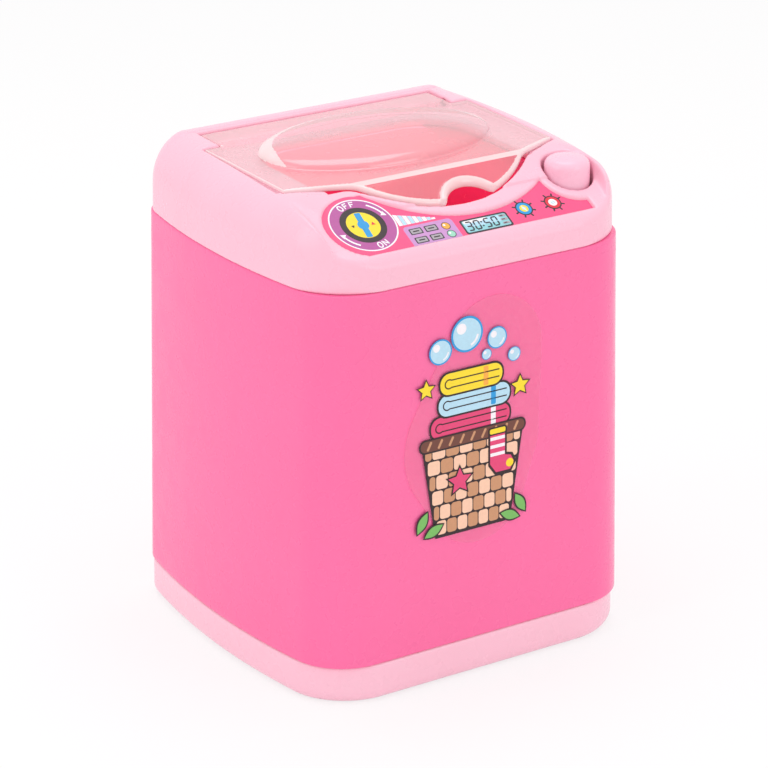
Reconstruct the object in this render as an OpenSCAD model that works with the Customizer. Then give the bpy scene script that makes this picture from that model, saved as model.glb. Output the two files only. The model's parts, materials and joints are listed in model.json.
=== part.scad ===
// Toy top-loading washing machine, battery powered, in millimetres.
// X runs to the right seen from the front, Y to the rear, Z up from the table.

/* [Body] */
// Width across the widest part of the bulging side walls
body_w = 93; // [90:0.5:96]
// Depth from the front face to the rear face, at the table
body_d = 83.4; // [82:0.2:86]
// Height of the rear of the deck above the table
deck_h = 115.2; // [112:0.2:122]
// Radius of the side walls' bulge
side_bulge_r = 188; // [150:1:260]
// Y position of the widest point of the side walls
widest_y = 4; // [0:0.5:8]
// Plan radius of the two front corners
corner_front_r = 13.5; // [12.5:0.1:15]
// Plan radius of the two rear corners
corner_rear_r = 8.3; // [8:0.1:10]
// Shrink of the outline for each millimetre of height
draft = 0.0004; // [0.0002:0.0001:0.0006]
// Wall of the body shell
shell_wall = 1.6; // [1.2:0.1:2]

/* [Base] */
// Height of the base band
base_h = 9.3; // [8:0.1:12]
// Radius of the base's lower edge
base_round = 3; // [2:0.5:4]
// Floor thickness of the base, deep enough for the door's groove
base_floor = 2.7; // [2.6:0.1:3.2]
// Wall of the base's rim and of the battery box
base_wall = 1.6; // [1.2:0.1:2]
// Height of the lip that locates one shell inside the next
lip_h = 3; // [2:0.5:4]
// Thickness of the locating lips
lip_t = 1.2; // [1:0.1:1.6]
// Clearance between a lip and the shell round it
lip_gap = 0.15; // [0.1:0.05:0.3]

/* [Cover] */
// Height of the cover, from its seam to the deck
cover_h = 17.85; // [16:0.05:20]
// Wall of the cover
cover_wall = 1.6; // [1.2:0.1:1.8]
// Height of the straight part of the cover's wall above the seam
cover_straight = 7.15; // [5:0.05:7.4]
// Width of the rounded edge along the front of each side
edge_side_front = 7.6; // [5:0.1:9]
// Width of the rounded edge along the rear of each side
edge_side_rear = 10.5; // [7:0.1:12]
// Width of the rounded edge along the rear
edge_rear = 7; // [5:0.1:7.5]
// Width of the rounded edge along the front
edge_front = 3; // [2.5:0.1:4]
// Fall of the deck for each millimetre towards the front
deck_tilt = 0.02; // [0:0.005:0.03]
// Angle of the sloping control panel
panel_angle = 27.5; // [24:0.5:30]
// Distance of the panel's crease from the front face
crease_from_front = 23.8; // [22:0.2:25]
// Height over which the crease is rounded
crease_round = 2; // [1:0.25:3]
// Distance from the widest side to the inner edge of the raised cheek
cheek_inner_side = 14; // [12.5:0.5:15.5]
// Distance from the widest side to the outer edge of the blend from panel to cheek
cheek_outer_side = 8; // [6.5:0.5:9.5]
// Distance from the front face at which the cheek begins to fall
cheek_from_front = 22.7; // [20:0.2:24]

/* [Lid] */
// Distance from each side of the lid to the body's widest side
lid_side = 10.9; // [10.5:0.1:12]
// Distance from each side of the lid's tail to the body's widest side
lid_tail_side = 15.3; // [15:0.1:16.5]
// Y position of the lid's rear edge
lid_rear_y = 30.4; // [29.6:0.2:30.6]
// Y position of the step where the tail begins
lid_step_y = 20.3; // [19:0.1:20.6]
// Distance of the lid's outer front corners from the front face
lid_wing = 27.7; // [26.7:0.1:28.7]
// Distance of the fold between lid and flap from the front face
lid_fold = 23.1; // [22.7:0.1:24.2]
// Depth of the lid's top below the deck's rear edge
lid_sink = 0.6; // [0.4:0.1:1]
// Thickness of the lid
lid_t = 1.3; // [1:0.1:1.5]
// Gap between the lid and the recess round it
lid_gap = 0.4; // [0.3:0.05:0.6]
// Gap under the lid
lid_under_gap = 0.2; // [0.2:0.05:0.4]
// X position of the flap's arc
flap_x = 2; // [0:0.5:3]
// Distance of the flap's foremost edge from the front face
flap_from_front = 13.7; // [13.2:0.1:14.2]
// How much less than half the body's width the flap's radius is
flap_side = 14.8; // [14.1:0.1:15.5]
// Gap between the flap and the cover's opening
flap_gap = 1.6; // [1:0.1:1.8]
// Radius of the finger notch
notch_r = 7.2; // [6:0.1:8]
// X offset of the notch from the flap's centre
notch_dx = 2.6; // [0:0.2:5]
// Depth of the notch from the flap's edge
notch_depth = 4.3; // [3.5:0.1:4.8]
// Length of the oval bulge along X
bulge_w = 58; // [54:0.5:60]
// Width of the oval bulge along Y
bulge_d = 36; // [33:0.5:37]
// Y position of the bulge's centre
bulge_y = 5; // [4.5:0.1:5.5]
// Height of the bulge above the lid
bulge_h = 3; // [2.5:0.25:5]
// Y position of the hinge axis
hinge_y = 24.5; // [24:0.1:25]
// Radius of the lid's hinge pins
hinge_pin_r = 0.9; // [0.7:0.05:0.9]
// Length of each hinge pin
hinge_pin_l = 2; // [1.5:0.1:2.5]
// Running clearance round the hinge pins
pin_gap = 0.05; // [0.03:0.01:0.08]
// How far the lid opens, in degrees
lid_open = 100; // [80:5:100]

/* [Tub] */
// Distance from each inner side of the tub to the body's widest side
tub_side = 20; // [20:0.25:21.5]
// Y position of the tub's rear inner wall
tub_rear_y = 18; // [17:0.25:18]
// How far the tub's front wall lies inside the flap's edge
tub_front_in = 0.9; // [0.7:0.1:1.7]
// Plan radius of the tub's corners
tub_corner_r = 13; // [10:0.5:15]
// Wall of the tub
tub_wall = 1.5; // [1.2:0.1:1.6]
// Floor thickness of the tub
tub_floor_t = 2; // [1.6:0.1:2.4]
// Thickness of the tub's flange
flange_t = 1.6; // [1.4:0.1:2]
// Depth of the flange below the lid's surface
flange_depth = 3.3; // [3.1:0.1:3.6]

/* [Button] */
// Radius of the button
button_r = 5.2; // [4.8:0.1:5.3]
// Gap round the button
button_gap = 0.7; // [0.5:0.1:0.8]
// Travel of the button
button_travel = 2; // [1:0.25:2.5]
// Height of the button's top below the deck
button_sink = 0.9; // [0.4:0.1:2]
// Distance of the button's axis from the widest side
button_from_side = 14.9; // [14.6:0.1:15.2]
// Distance of the button's axis from the front face
button_from_front = 15.7; // [15.5:0.1:16]

/* [Label and sticker] */
// Radius of the label's round end
label_end_r = 9.2; // [8.5:0.1:9.4]
// Depth of the label's pocket
label_pocket = 1; // [0.4:0.1:1.1]
// Thickness of the label and of the sticker
film_t = 0.3; // [0.15:0.05:0.4]
// Width of the front sticker
sticker_w = 36; // [30:0.5:40]
// Height of the front sticker
sticker_h = 58; // [50:1:60]
// Height of the sticker's centre above the table
sticker_z = 62; // [55:1:66]

/* [Drive] */
// Module of the gears
gear_module = 0.5; // [0.5:0.01:0.52]
// Teeth of the drive gear, 10 more than a multiple of 20
gear_teeth = 50; // [50]
// Teeth of the motor pinion
pinion_teeth = 10; // [10]
// Thickness of the drive gear
gear_t = 3.8; // [3:0.1:4]
// Radius of the pulsator's shaft
shaft_r = 2; // [1.5:0.05:2.2]
// Radius of the motor's shaft
motor_shaft_r = 1; // [0.9:0.05:1.1]
// Radius of the pulsator
pulsator_r = 19; // [15:0.5:19.5]
// Radius of the motor's can
motor_r = 10; // [9:0.1:10]
// Width of the motor's can across its flats
motor_flat = 15.1; // [14:0.1:15.2]
// Length of the motor's can without its end cap
motor_l = 20; // [18:0.5:22]
// Length of the motor's end cap
motor_cap_l = 5; // [4:0.5:6]
// Thickness of the motor bracket
bracket_t = 2; // [1.6:0.1:2.4]
// Length of the posts between bracket and tub
post_l = 12; // [11.5:0.1:13]
// Clearance of a fixed fit, at the radius
fit_gap = 0.02; // [0.02:0.01:0.04]
// Running clearance of a shaft, at the radius
run_gap = 0.05; // [0.03:0.01:0.08]

/* [Battery] */
// Radius of an AA cell
cell_r = 7.25; // [7.1:0.05:7.25]
// Length of an AA cell over its contact
cell_l = 50.5; // [50:0.1:50.5]
// Gap between the cells and beside them
cell_gap = 0.5; // [0.4:0.05:0.6]
// Thickness of the contact plates
plate_t = 0.5; // [0.4:0.1:0.6]
// Length of a compressed contact spring
contact_spring_l = 4.9; // [4.5:0.1:6]
// Thickness of the battery door
door_t = 1.9; // [1.7:0.1:2]
// Clearance round the battery door
door_gap = 0.2; // [0.2:0.05:0.3]

/* [Screws and wires] */
// Radius of the case screws
screw_r = 1.3; // [1:0.05:1.4]
// Radius of the small screws
small_screw_r = 0.9; // [0.7:0.05:0.9]
// Clearance of the screws in their holes
screw_gap = 0.05; // [0.03:0.01:0.1]
// Radius of the wires
wire_r = 0.6; // [0.4:0.05:0.7]

/* [Hidden] */
$fn = 48;
// Reach of a cutting solid beyond what it cuts
cut = 0.5;
// A length longer than the whole object
big = 200;

// Heights of the shells
seam_z = deck_h - cover_h;
shoulder_z = seam_z + cover_straight;
front_y = -body_d / 2;
crease_y = front_y + crease_from_front;
cheek_in = body_w / 2 - cheek_inner_side;
cheek_out = body_w / 2 - cheek_outer_side;
cheek_y = front_y + cheek_from_front;
cheek_span = 19;
cheek_power = 2.2;
// Y position at which the deck has its full height
level_y = 36;

// Plan outline: centres of the side arcs and corners
side_cx = body_w / 2 - side_bulge_r;
front_cy = front_y + corner_front_r;
front_cx = side_cx + sqrt(pow(side_bulge_r - corner_front_r, 2) - pow(front_cy - widest_y, 2));
rear_cy = body_d / 2 - corner_rear_r;
rear_cx = side_cx + sqrt(pow(side_bulge_r - corner_rear_r, 2) - pow(rear_cy - widest_y, 2));
front_a = atan2(front_cy - widest_y, front_cx - side_cx);
rear_a = atan2(rear_cy - widest_y, rear_cx - side_cx);

// Lid, flap and hinge
lid_z = deck_h - lid_sink;
lid_w = body_w - 2 * lid_side;
lid_tail_w = body_w - 2 * lid_tail_side;
tub_w = body_w - 2 * tub_side;
fold_cos = cos(panel_angle);
fold_tan = tan(panel_angle);
lid_wing_y = front_y + lid_wing;
lid_fold_y = front_y + lid_fold;
flap_r = body_w / 2 - flap_side;
tub_front_r = flap_r - tub_front_in;
flap_edge_y = front_y + flap_from_front;
flap_y = flap_edge_y + flap_r;
notch_x = flap_x + notch_dx;
notch_y = flap_edge_y + notch_depth - notch_r;
hinge_z = lid_z - lid_t;
open_r = flap_r + flap_gap;
// Wall of the recess, and of the trough under the lid's tail
recess_wall = 1.2;
trough_wall = 1.4;
trough_front_y = hinge_y - 1.7;
trough_floor_z = hinge_z - (lid_rear_y - hinge_y) - 0.9;
opening_w = tub_w + 1;
opening_corner_r = 12;

// Button and switch, from the top down
button_x = body_w / 2 - button_from_side;
button_y = front_y + button_from_front;
button_top_z = deck_h - button_sink;
guide_r = button_r + button_gap;
guide_wall = 1.3;
guide_z = shoulder_z - 2.2;
button_flange_r = guide_r + 0.5;
button_flange_t = 1.2;
button_skirt_z = guide_z - 0.2 - button_flange_t;
switch_size = 7.5;
switch_h = 9;
switch_top_z = button_skirt_z - button_travel - 5.9;
switch_z = switch_top_z - switch_h;
plunger_r = 1.6;
plunger_top_z = switch_top_z + button_travel + 3.4;
stem_r = 2.2;
stem_z = plunger_top_z - 1.8;
switch_plate_t = 1.6;
switch_post_a = [button_x + 6.6, button_y + 5.9];
switch_post_b = [button_x - 7, button_y - 7];
switch_post_r = 2.2;
switch_angle = atan2(
    switch_post_a.y - switch_post_b.y,
    switch_post_a.x - switch_post_b.x
);
terminal_l = 5;

// Battery box, from the table up
door_z = 0.4;
door_lip = 1.2;
cell_z = base_floor + cell_r - 0.2;
box_top_z = cell_z + cell_r + 0.4;
box_half_l = (cell_l + contact_spring_l) / 2 + plate_t;
box_front_y = -4.7;
front_cell_y = box_front_y + cell_gap + cell_r;
rear_cell_y = front_cell_y + 2 * cell_r + cell_gap;
box_rear_y = rear_cell_y + cell_r + cell_gap;
plate_x = box_half_l - plate_t;
tab_top_z = box_top_z + base_wall + 2;
door_front_y = box_front_y - 0.8;
door_rear_y = body_d / 2 - base_round - 0.8;
door_half_w = box_half_l + 0.8;

// Drive, from the base up
drive_y = -3;
gear_distance = gear_module * (gear_teeth + pinion_teeth) / 2;
motor_y = drive_y - gear_distance;
motor_z = base_floor + 2.3;
can_z = motor_z + motor_cap_l;
bracket_z = can_z + motor_l;
bracket_top = bracket_z + bracket_t;
tub_under_z = bracket_top + post_l;
tub_floor_z = tub_under_z + tub_floor_t;
gear_z = bracket_top + 1.6;
bush_r = 4;
bush_z = gear_z + gear_t + 1.2;
seal_t = 1.2;
seal_r = 5.5;
shaft_z = bracket_z - 1.6;
shaft_top_z = tub_floor_z + 8.8;
pulsator_z = tub_floor_z + 2.2;
pulsator_t = 1.8;
pulsator_top_z = shaft_top_z + 2.4;
clip_t = 0.6;
bracket_post_side = 17;
bracket_post_fore = 11;
bracket_post_aft = 18;
bracket_posts = [
    [-bracket_post_side, drive_y - bracket_post_fore],
    [bracket_post_side, drive_y - bracket_post_fore],
    [0, drive_y + bracket_post_aft]
];
bracket_post_r = 3;
bracket_screw_l = 9;
base_screw_l = 16;
magnet_l = 12;
magnet_foot = 3;

// Places of the case screws and tub screws
tub_post_rear = 15.2;
case_posts = [
    for (sx = [-1, 1]) [sx * (body_w / 2 - 14.5), front_y + 14.2],
    for (sx = [-1, 1]) [sx * (body_w / 2 - 13.5), body_d / 2 - 12.2]
];
case_post_r = 3.2;
case_post_top = 32;
case_head_z = 4.5;
tub_posts = [
    for (sx = [-1, 1]) [sx * (lid_w / 2 + 1.2), lid_wing_y - 1.4],
    for (sx = [-1, 1]) [sx * (lid_w / 2 + 0.7), min(hinge_y + 2, body_d / 2 - tub_post_rear)]
];
tub_post_r = 2.4;
flange_z = lid_z - flange_depth;
// Bevel of the flange's ears, clear of the cover's rounded sides
flange_bevel_x = lid_w / 2 + 0.8;
flange_bevel_angle = 38;
flange_guide_gap = 1;

// Panel label, in plan
dial_from_side = 21.8;
dial_x = dial_from_side - body_w / 2;
dial_y = front_y + 12.3;
label_front_y = front_y + 4.7;
label_top_y = dial_y + label_end_r * fold_cos;
label_arc_x = 5;
label_arc_y = flap_y + 0.5;
label_arc_r = open_r + 2.8;
label_button_r = guide_r + 2.3;
label_right_x = button_x - 0.2;

// Angle of the drafted front face from upright
face_lean = atan(body_d / 2 * draft);

// Plan size of the shells at a height
function scale_at(z) = 1 - draft * z;

// Points with their outward direction along an arc
function arc_points(cx, cy, r, a0, a1, n) = [
    for (i = [1:n])
        let (a = a0 + (a1 - a0) * i / n)
            [cx + r * cos(a), cy + r * sin(a), a]
];
// Right half of the outline, from the middle of the front to the middle of the rear
function half_outline(steps) = concat(
    [for (i = [0:steps]) [front_cx * i / steps, front_y, -90]],
    arc_points(front_cx, front_cy, corner_front_r, -90, front_a, 2 * steps),
    arc_points(side_cx, widest_y, side_bulge_r, front_a, rear_a, 3 * steps),
    arc_points(rear_cx, rear_cy, corner_rear_r, rear_a, 90, 2 * steps),
    [for (i = [1:steps]) [rear_cx * (1 - i / steps), body_d / 2, 90]]
);
// The whole outline, anticlockwise from above
function full_outline(steps) =
    let (half = half_outline(steps), n = len(half))
        concat(half, [for (i = [n - 2:-1:1]) [-half[i].x, half[i].y, 180 - half[i].z]]);

outline = full_outline(4);

// A level ring of the outline, drawn in by an inset
function ring(z, inset, points = outline) = [
    for (p = points) [
        p.x * scale_at(z) - inset * cos(p.z),
        p.y * scale_at(z) - inset * sin(p.z),
        z
    ]
];

// Mean of a list of points
function middle(points) = [for (p = points) 1] * points / len(points);

// Solid through a stack of rings with equal point counts, closed at each end by a fan,
// whose top point can be given
module loft(rings, apex = undef) {
    n = len(rings[0]);
    m = len(rings);
    sides = [
        for (i = [0:m - 2], j = [0:n - 1])
            let (a = i * n + j, b = i * n + (j + 1) % n)
                each [[a, a + n, b + n], [a, b + n, b]]
    ];
    bottom = [for (j = [0:n - 1]) [(j + 1) % n, m * n, j]];
    top = [for (j = [0:n - 1]) [(m - 1) * n + j, m * n + 1, (m - 1) * n + (j + 1) % n]];
    polyhedron(
        points = concat(
            [for (r = rings) each r],
            [middle(rings[0]), is_undef(apex) ? middle(rings[m - 1]) : apex]
        ),
        faces = concat(bottom, sides, top)
    );
}
// Drafted slab of the outline between two heights
module slab(z0, z1, inset) {
    loft([ring(z0, inset), ring(z1, inset)]);
}
// Drafted wall that follows the outline
module wall_ring(z0, z1, inset, t) {
    difference() {
        slab(z0, z1, inset);
        slab(z0 - cut, z1 + cut, inset + t);
    }
}

// Lip that locates a shell inside the next one, with the web that joins it to its wall
module locating_lip(web_end, web_start, lip_end) {
    inset = shell_wall + lip_gap;
    rings = [
        ring(web_end, shell_wall / 2), ring(web_start, shell_wall / 2),
        ring(web_start, inset), ring(lip_end, inset)
    ];
    upward = lip_end > web_end;
    difference() {
        loft(upward ? rings : [for (i = [3:-1:0]) rings[i]]);
        slab(min(web_end, lip_end) - cut, max(web_end, lip_end) + cut, inset + lip_t);
    }
}

// Height of the deck, of the panel and of the cheeks beside it
function flat_z(y) = deck_h - deck_tilt * (level_y - y);
function panel_z(y) = deck_h + fold_tan * (y - crease_y);
function cheek_z(y) =
    let (u = min(1, max(0, (cheek_y - y) / cheek_span)))
        shoulder_z + (flat_z(cheek_y) - shoulder_z) * pow(1 - pow(u, cheek_power), 1 / cheek_power);

// Width of the rounded edge at an outline point, by its outward direction
function edge_width(a) =
    let (d = a > 90 ? 180 - a : a)
        d < front_a
            ? edge_front
                + (edge_side_front - edge_front) * pow(cos((front_a - d) * 90 / (90 + front_a)), 2)
            : d < rear_a
                ? edge_side_front
                    + (edge_side_rear - edge_side_front) * (d - front_a) / (rear_a - front_a)
                : edge_side_rear + (edge_rear - edge_side_rear) * (d - rear_a) / (90 - rear_a);
// Ring of the rounded edge, at a turn of 0 for the wall and 90 for the deck
function edge_ring(turn, wall) = [
    for (p = outline)
        let (
            k = scale_at(shoulder_z),
            inset = wall + (edge_width(p.z) - 0.6 * wall) * (1 - cos(turn)),
            x = p.x * k - inset * cos(p.z),
            y = p.y * k - inset * sin(p.z),
            rise = flat_z(y) - shoulder_z
        )
            [x, y, shoulder_z - wall + rise * sin(turn)]
];
// The cover's rounded walls, carried straight up past the deck
module rim_form(wall, turns) {
    floor_z = wall > 0 ? seam_z - cut : seam_z;
    last = edge_ring(turns[len(turns) - 1], wall);
    loft(concat(
        [ring(floor_z, wall)],
        [for (t = turns) edge_ring(t, wall)],
        [[for (p = last) [p.x, p.y, deck_h + 2]]]
    ));
}
// Side view of the deck and panel, with the rounded crease and front edge
module panel_profile(wall) {
    edge_y = front_y + crease_from_front / 5;
    round_y = crease_round / fold_tan;
    polygon([
        [big, flat_z(big) - wall],
        [crease_y + round_y, flat_z(crease_y + round_y) - wall],
        [crease_y, flat_z(crease_y) - 0.4 * crease_round * fold_tan - wall],
        [crease_y - round_y, panel_z(crease_y - round_y) - wall],
        [edge_y + wall, panel_z(edge_y) - wall],
        [edge_y - 1.6 + wall, panel_z(edge_y) - 1.3 - wall],
        [edge_y - 8 + wall, panel_z(edge_y) - 10 - wall],
        [edge_y - 8 + wall, 0], [big, 0]
    ]);
}
// Cheek at one side, rising from the panel's level to its own
module cheek(wall) {
    steps = 10;
    foot = 6;
    stations = [
        for (i = [steps:-1:0])
            let (y = cheek_y + foot - (cheek_span + foot) * sin(90 * i / steps))
                [
                    [cheek_in - wall, y, seam_z - 3],
                    [cheek_in - wall, y, min(panel_z(y), cheek_z(y)) - 1 - wall],
                    [cheek_in + 2 - wall, y, min(panel_z(y) * 0.6 + cheek_z(y) * 0.4, cheek_z(y)) - wall],
                    [cheek_out - wall, y, cheek_z(y) - wall],
                    [body_w, y, cheek_z(y) - wall],
                    [body_w, y, seam_z - 3]
                ]
    ];
    translate([0, wall, 0]) loft(stations);
}
// The cover's outer form, or with a wall its inner form
module cover_form(wall, turns) {
    intersection() {
        rim_form(wall, turns);
        union() {
            along_x() panel_profile(wall);
            cheek(wall);
            mirror([1, 0, 0]) cheek(wall);
        }
    }
}

// Line of the lid seen from the side, moved down by a depth square to it
function lid_line(depth) = [
    [big, lid_z - depth],
    [lid_fold_y + depth * (1 / fold_cos - 1) / fold_tan, lid_z - depth],
    [-big, lid_z - fold_tan * (big + lid_fold_y) - depth / fold_cos]
];
// Extrude a side view, drawn as Y and Z, along the whole width
module along_x(width = big) {
    translate([-width / 2, 0, 0]) rotate([90, 0, 90]) linear_extrude(width) children();
}
// Everything above the lid's line at a depth
module above_lid_line(depth) {
    along_x() polygon(concat(lid_line(depth), [[-big, big], [big, big]]));
}
// Sheet that follows the lid's line between two depths
module lid_sheet(depth, t) {
    difference() {
        above_lid_line(depth + t);
        above_lid_line(depth);
    }
}
// Plan of the lid, grown by one gap along its straight edges and another along its flap
module lid_plan(grow = 0, flap_grow = 0) {
    w = lid_w / 2 + grow;
    tail = lid_tail_w / 2 + grow;
    chord = sqrt(pow(flap_r, 2) - pow(flap_y - lid_fold_y, 2));
    polygon([
        [-w, lid_wing_y - grow], [flap_x - chord - flap_grow, lid_fold_y - grow],
        [flap_x + chord + flap_grow, lid_fold_y - grow], [w, lid_wing_y - grow],
        [w, lid_step_y + grow], [tail, lid_step_y + grow], [tail, lid_rear_y + grow],
        [-tail, lid_rear_y + grow], [-tail, lid_step_y + grow], [-w, lid_step_y + grow]
    ]);
    intersection() {
        translate([flap_x, flap_y]) circle(flap_r + flap_grow, $fn = 96);
        translate([-big / 2, lid_fold_y - big]) square([big, big]);
    }
}
// Plan of the opening into the tub
module opening_plan() {
    rear = tub_rear_y + 1;
    front = lid_fold_y;
    for (sx = [-1, 1])
        translate([sx * (opening_w / 2 - opening_corner_r), rear - opening_corner_r])
            circle(opening_corner_r);
    translate([-opening_w / 2, front]) square([opening_w, rear - opening_corner_r - front]);
    translate([-opening_w / 2 + opening_corner_r, front])
        square([opening_w - 2 * opening_corner_r, rear - front]);
    intersection() {
        translate([flap_x, flap_y]) circle(open_r, $fn = 96);
        translate([-big / 2, front - big + cut]) square([big, big]);
    }
}
// Cylinder between two heights
module post(r, z0, z1) {
    translate([0, 0, z0]) cylinder(r = r, h = z1 - z0);
}
// Tube between two heights
module tube(r_out, r_in, z0, z1) {
    difference() {
        post(r_out, z0, z1);
        post(r_in, z0 - cut, z1 + cut);
    }
}
// Screw with its head's upper face at z = 0 and its shank upwards
module screw(r, length) {
    head_r = 2.1 * r;
    head_h = 1.1 * r;
    difference() {
        union() {
            post(head_r, -head_h, 0);
            post(r, -cut, length);
        }
        for (turn = [0, 90])
            rotate(turn)
                translate([-head_r * 0.6, -r * 0.2, -head_h - cut])
                    cube([head_r * 1.2, r * 0.4, head_h * 0.6 + cut]);
    }
}

module top_cover() {
    color("#fcc8dd") difference() {
        union() {
            difference() {
                cover_form(0, [0, 15, 30, 45, 60, 72, 82]);
                difference() {
                    cover_form(cover_wall, [0, 25, 50, 75]);
                    cover_inner_block();
                }
            }
            locating_lip(seam_z + 1.6, seam_z + 0.3, seam_z - lip_h);
            for (p = [switch_post_a, switch_post_b])
                translate([p.x, p.y, 0]) post(switch_post_r + 0.3, switch_z, seam_z + 1.4);
        }
        // Recess for the lid, trough for its tail and opening into the tub
        intersection() {
            linear_extrude(big) lid_plan(lid_gap, flap_gap);
            above_lid_line(lid_t + lid_under_gap);
        }
        translate([-lid_tail_w / 2 - lid_gap, trough_front_y, trough_floor_z])
            cube([lid_tail_w + 2 * lid_gap, lid_rear_y + lid_gap - trough_front_y, big]);
        linear_extrude(big) opening_plan();
        // Bores for the hinge pins
        translate([-lid_tail_w / 2 - hinge_pin_l - lid_gap, hinge_y, hinge_z])
            rotate([0, 90, 0])
                cylinder(r = hinge_pin_r + pin_gap, h = lid_tail_w + 2 * (hinge_pin_l + lid_gap));
        // Hole and guide for the button
        translate([button_x, button_y, 0]) post(guide_r, 0, big);
        for (p = [switch_post_a, switch_post_b])
            translate([p.x, p.y, 0]) post(small_screw_r + screw_gap, 0, switch_z + 6.5);
        for (p = tub_posts)
            translate([p.x, p.y, 0]) post(small_screw_r + screw_gap, 0, lid_z - 1.4);
        label_shape(label_pocket, label_pocket + 4, 0.15);
    }
}
// Walls and posts inside the cover, before they are trimmed to its outer form
module cover_inner_block() {
    intersection() {
        linear_extrude(big) lid_plan(lid_gap + recess_wall, flap_gap + recess_wall);
        above_lid_line(flange_depth);
    }
    translate([
        -lid_tail_w / 2 - lid_gap - trough_wall, trough_front_y - trough_wall,
        trough_floor_z - trough_wall
    ])
        cube([
            lid_tail_w + 2 * (lid_gap + trough_wall),
            lid_rear_y + lid_gap - trough_front_y + 2 * trough_wall, big
        ]);
    translate([button_x, button_y, 0]) post(guide_r + guide_wall, guide_z, big);
    for (p = [switch_post_a, switch_post_b])
        translate([p.x, p.y, 0]) post(switch_post_r, switch_z, big);
    intersection() {
        for (p = tub_posts)
            translate([p.x, p.y, 0]) post(tub_post_r, 0, big);
        above_lid_line(flange_depth);
    }
}

// Plan of the printed label, with a border round it
module label_plan(border) {
    difference() {
        translate([dial_x, label_front_y - border])
            square([label_right_x - dial_x + border, label_top_y - label_front_y + 2 * border]);
        translate([label_arc_x, label_arc_y]) circle(label_arc_r - border, $fn = 96);
        translate([button_x, button_y]) circle(label_button_r - border);
        translate([button_x - label_button_r + border, button_y]) square(big);
    }
}
// The label as a sheet under the panel's surface, from one depth up to another
module label_shape(depth, t, border) {
    surface_z = panel_z(0);
    intersection() {
        translate([0, 0, surface_z])
            rotate([panel_angle, 0, 0])
                translate([-big / 2, -big / 2, -depth])
                    cube([big, big, t]);
        union() {
            linear_extrude(big) label_plan(border);
            intersection() {
                translate([dial_x, dial_y, panel_z(dial_y)])
                    rotate([panel_angle, 0, 0])
                        post(label_end_r + border, -5, 5);
                translate([-big / 2, label_front_y - border, 0]) cube([big, big, big]);
            }
        }
    }
}
module control_label() {
    color("#ff5a90") label_shape(label_pocket, film_t, 0);
}

module body_shell() {
    post_z = base_h + lip_h + 0.2;
    color("#ff76ac") difference() {
        union() {
            wall_ring(base_h, seam_z, 0, shell_wall);
            for (p = case_posts)
                translate([p.x, p.y, 0]) post(case_post_r, post_z, case_post_top);
            intersection() {
                slab(post_z, case_post_top - 1, shell_wall / 2);
                for (p = case_posts) {
                    translate([
                        p.x > 0 ? p.x : p.x - body_w / 4, p.y - shell_wall / 2, 0
                    ])
                        cube([body_w / 4, shell_wall, big]);
                    translate([
                        p.x - shell_wall / 2, p.y > 0 ? p.y : p.y - body_d / 4, 0
                    ])
                        cube([shell_wall, body_d / 4, big]);
                }
            }
        }
        for (p = case_posts)
            translate([p.x, p.y, 0]) post(screw_r + screw_gap, 0, case_post_top - 4);
    }
}

module base() {
    box_x = box_half_l + base_wall;
    slot_w = 2 * (door_half_w - door_lip + door_gap);
    groove_w = 2 * (door_half_w + door_gap);
    slot_l = body_d / 2 - door_front_y + 2 * door_gap;
    color("#ffbcd3") difference() {
        union() {
            difference() {
                loft(concat(
                    [for (t = [90:-18:18]) ring(base_round * (1 - sin(t)), base_round * (1 - cos(t)))],
                    [ring(base_round, 0), ring(base_h, 0)]
                ));
                slab(base_floor, base_h + cut, base_wall);
            }
            locating_lip(base_h - 2, base_h - 0.4, base_h + lip_h);
            translate([-box_x, box_front_y - base_wall, base_floor - 0.3])
                cube([
                    2 * box_x, box_rear_y - box_front_y + 2 * base_wall,
                    box_top_z + base_wall - base_floor + 0.3
                ]);
            for (p = case_posts)
                translate([p.x, p.y, 0])
                    post(case_post_r, base_floor - 0.3, base_h + lip_h);
        }
        // Inside of the battery box
        translate([-box_half_l, box_front_y, -cut])
            cube([2 * box_half_l, box_rear_y - box_front_y, box_top_z + cut]);
        // Slots for the soldering tabs
        for (y = [front_cell_y, rear_cell_y])
            translate([-box_half_l, y - 1.6, 0]) cube([plate_t + 0.2, 3.2, tab_top_z]);
        // Slot and groove for the sliding door, open at the rear
        translate([-slot_w / 2, door_front_y - door_gap, -cut])
            cube([slot_w, slot_l, base_floor + cut]);
        translate([-groove_w / 2, door_front_y - door_gap, door_z + 0.8 - door_gap])
            cube([groove_w, slot_l, base_floor - door_z - 0.8 + door_gap]);
        for (p = case_posts)
            translate([p.x, p.y, 0]) {
                post(2.1 * screw_r + 0.3, -cut, case_head_z);
                post(screw_r + screw_gap, 0, big);
            }
    }
}

module battery_door() {
    lip_z = door_z + 0.8;
    color("#ffbcd3") {
        translate([-door_half_w + door_lip, door_front_y, door_z])
            cube([2 * (door_half_w - door_lip), door_rear_y - door_front_y, door_t]);
        translate([-door_half_w, door_front_y, lip_z])
            cube([2 * door_half_w, door_rear_y - door_front_y, door_z + door_t - lip_z]);
        for (i = [0:4])
            translate([-9, door_rear_y - 4 - 2.2 * i, door_z - 0.3])
                cube([18, 1.1, 0.6]);
    }
}

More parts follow.
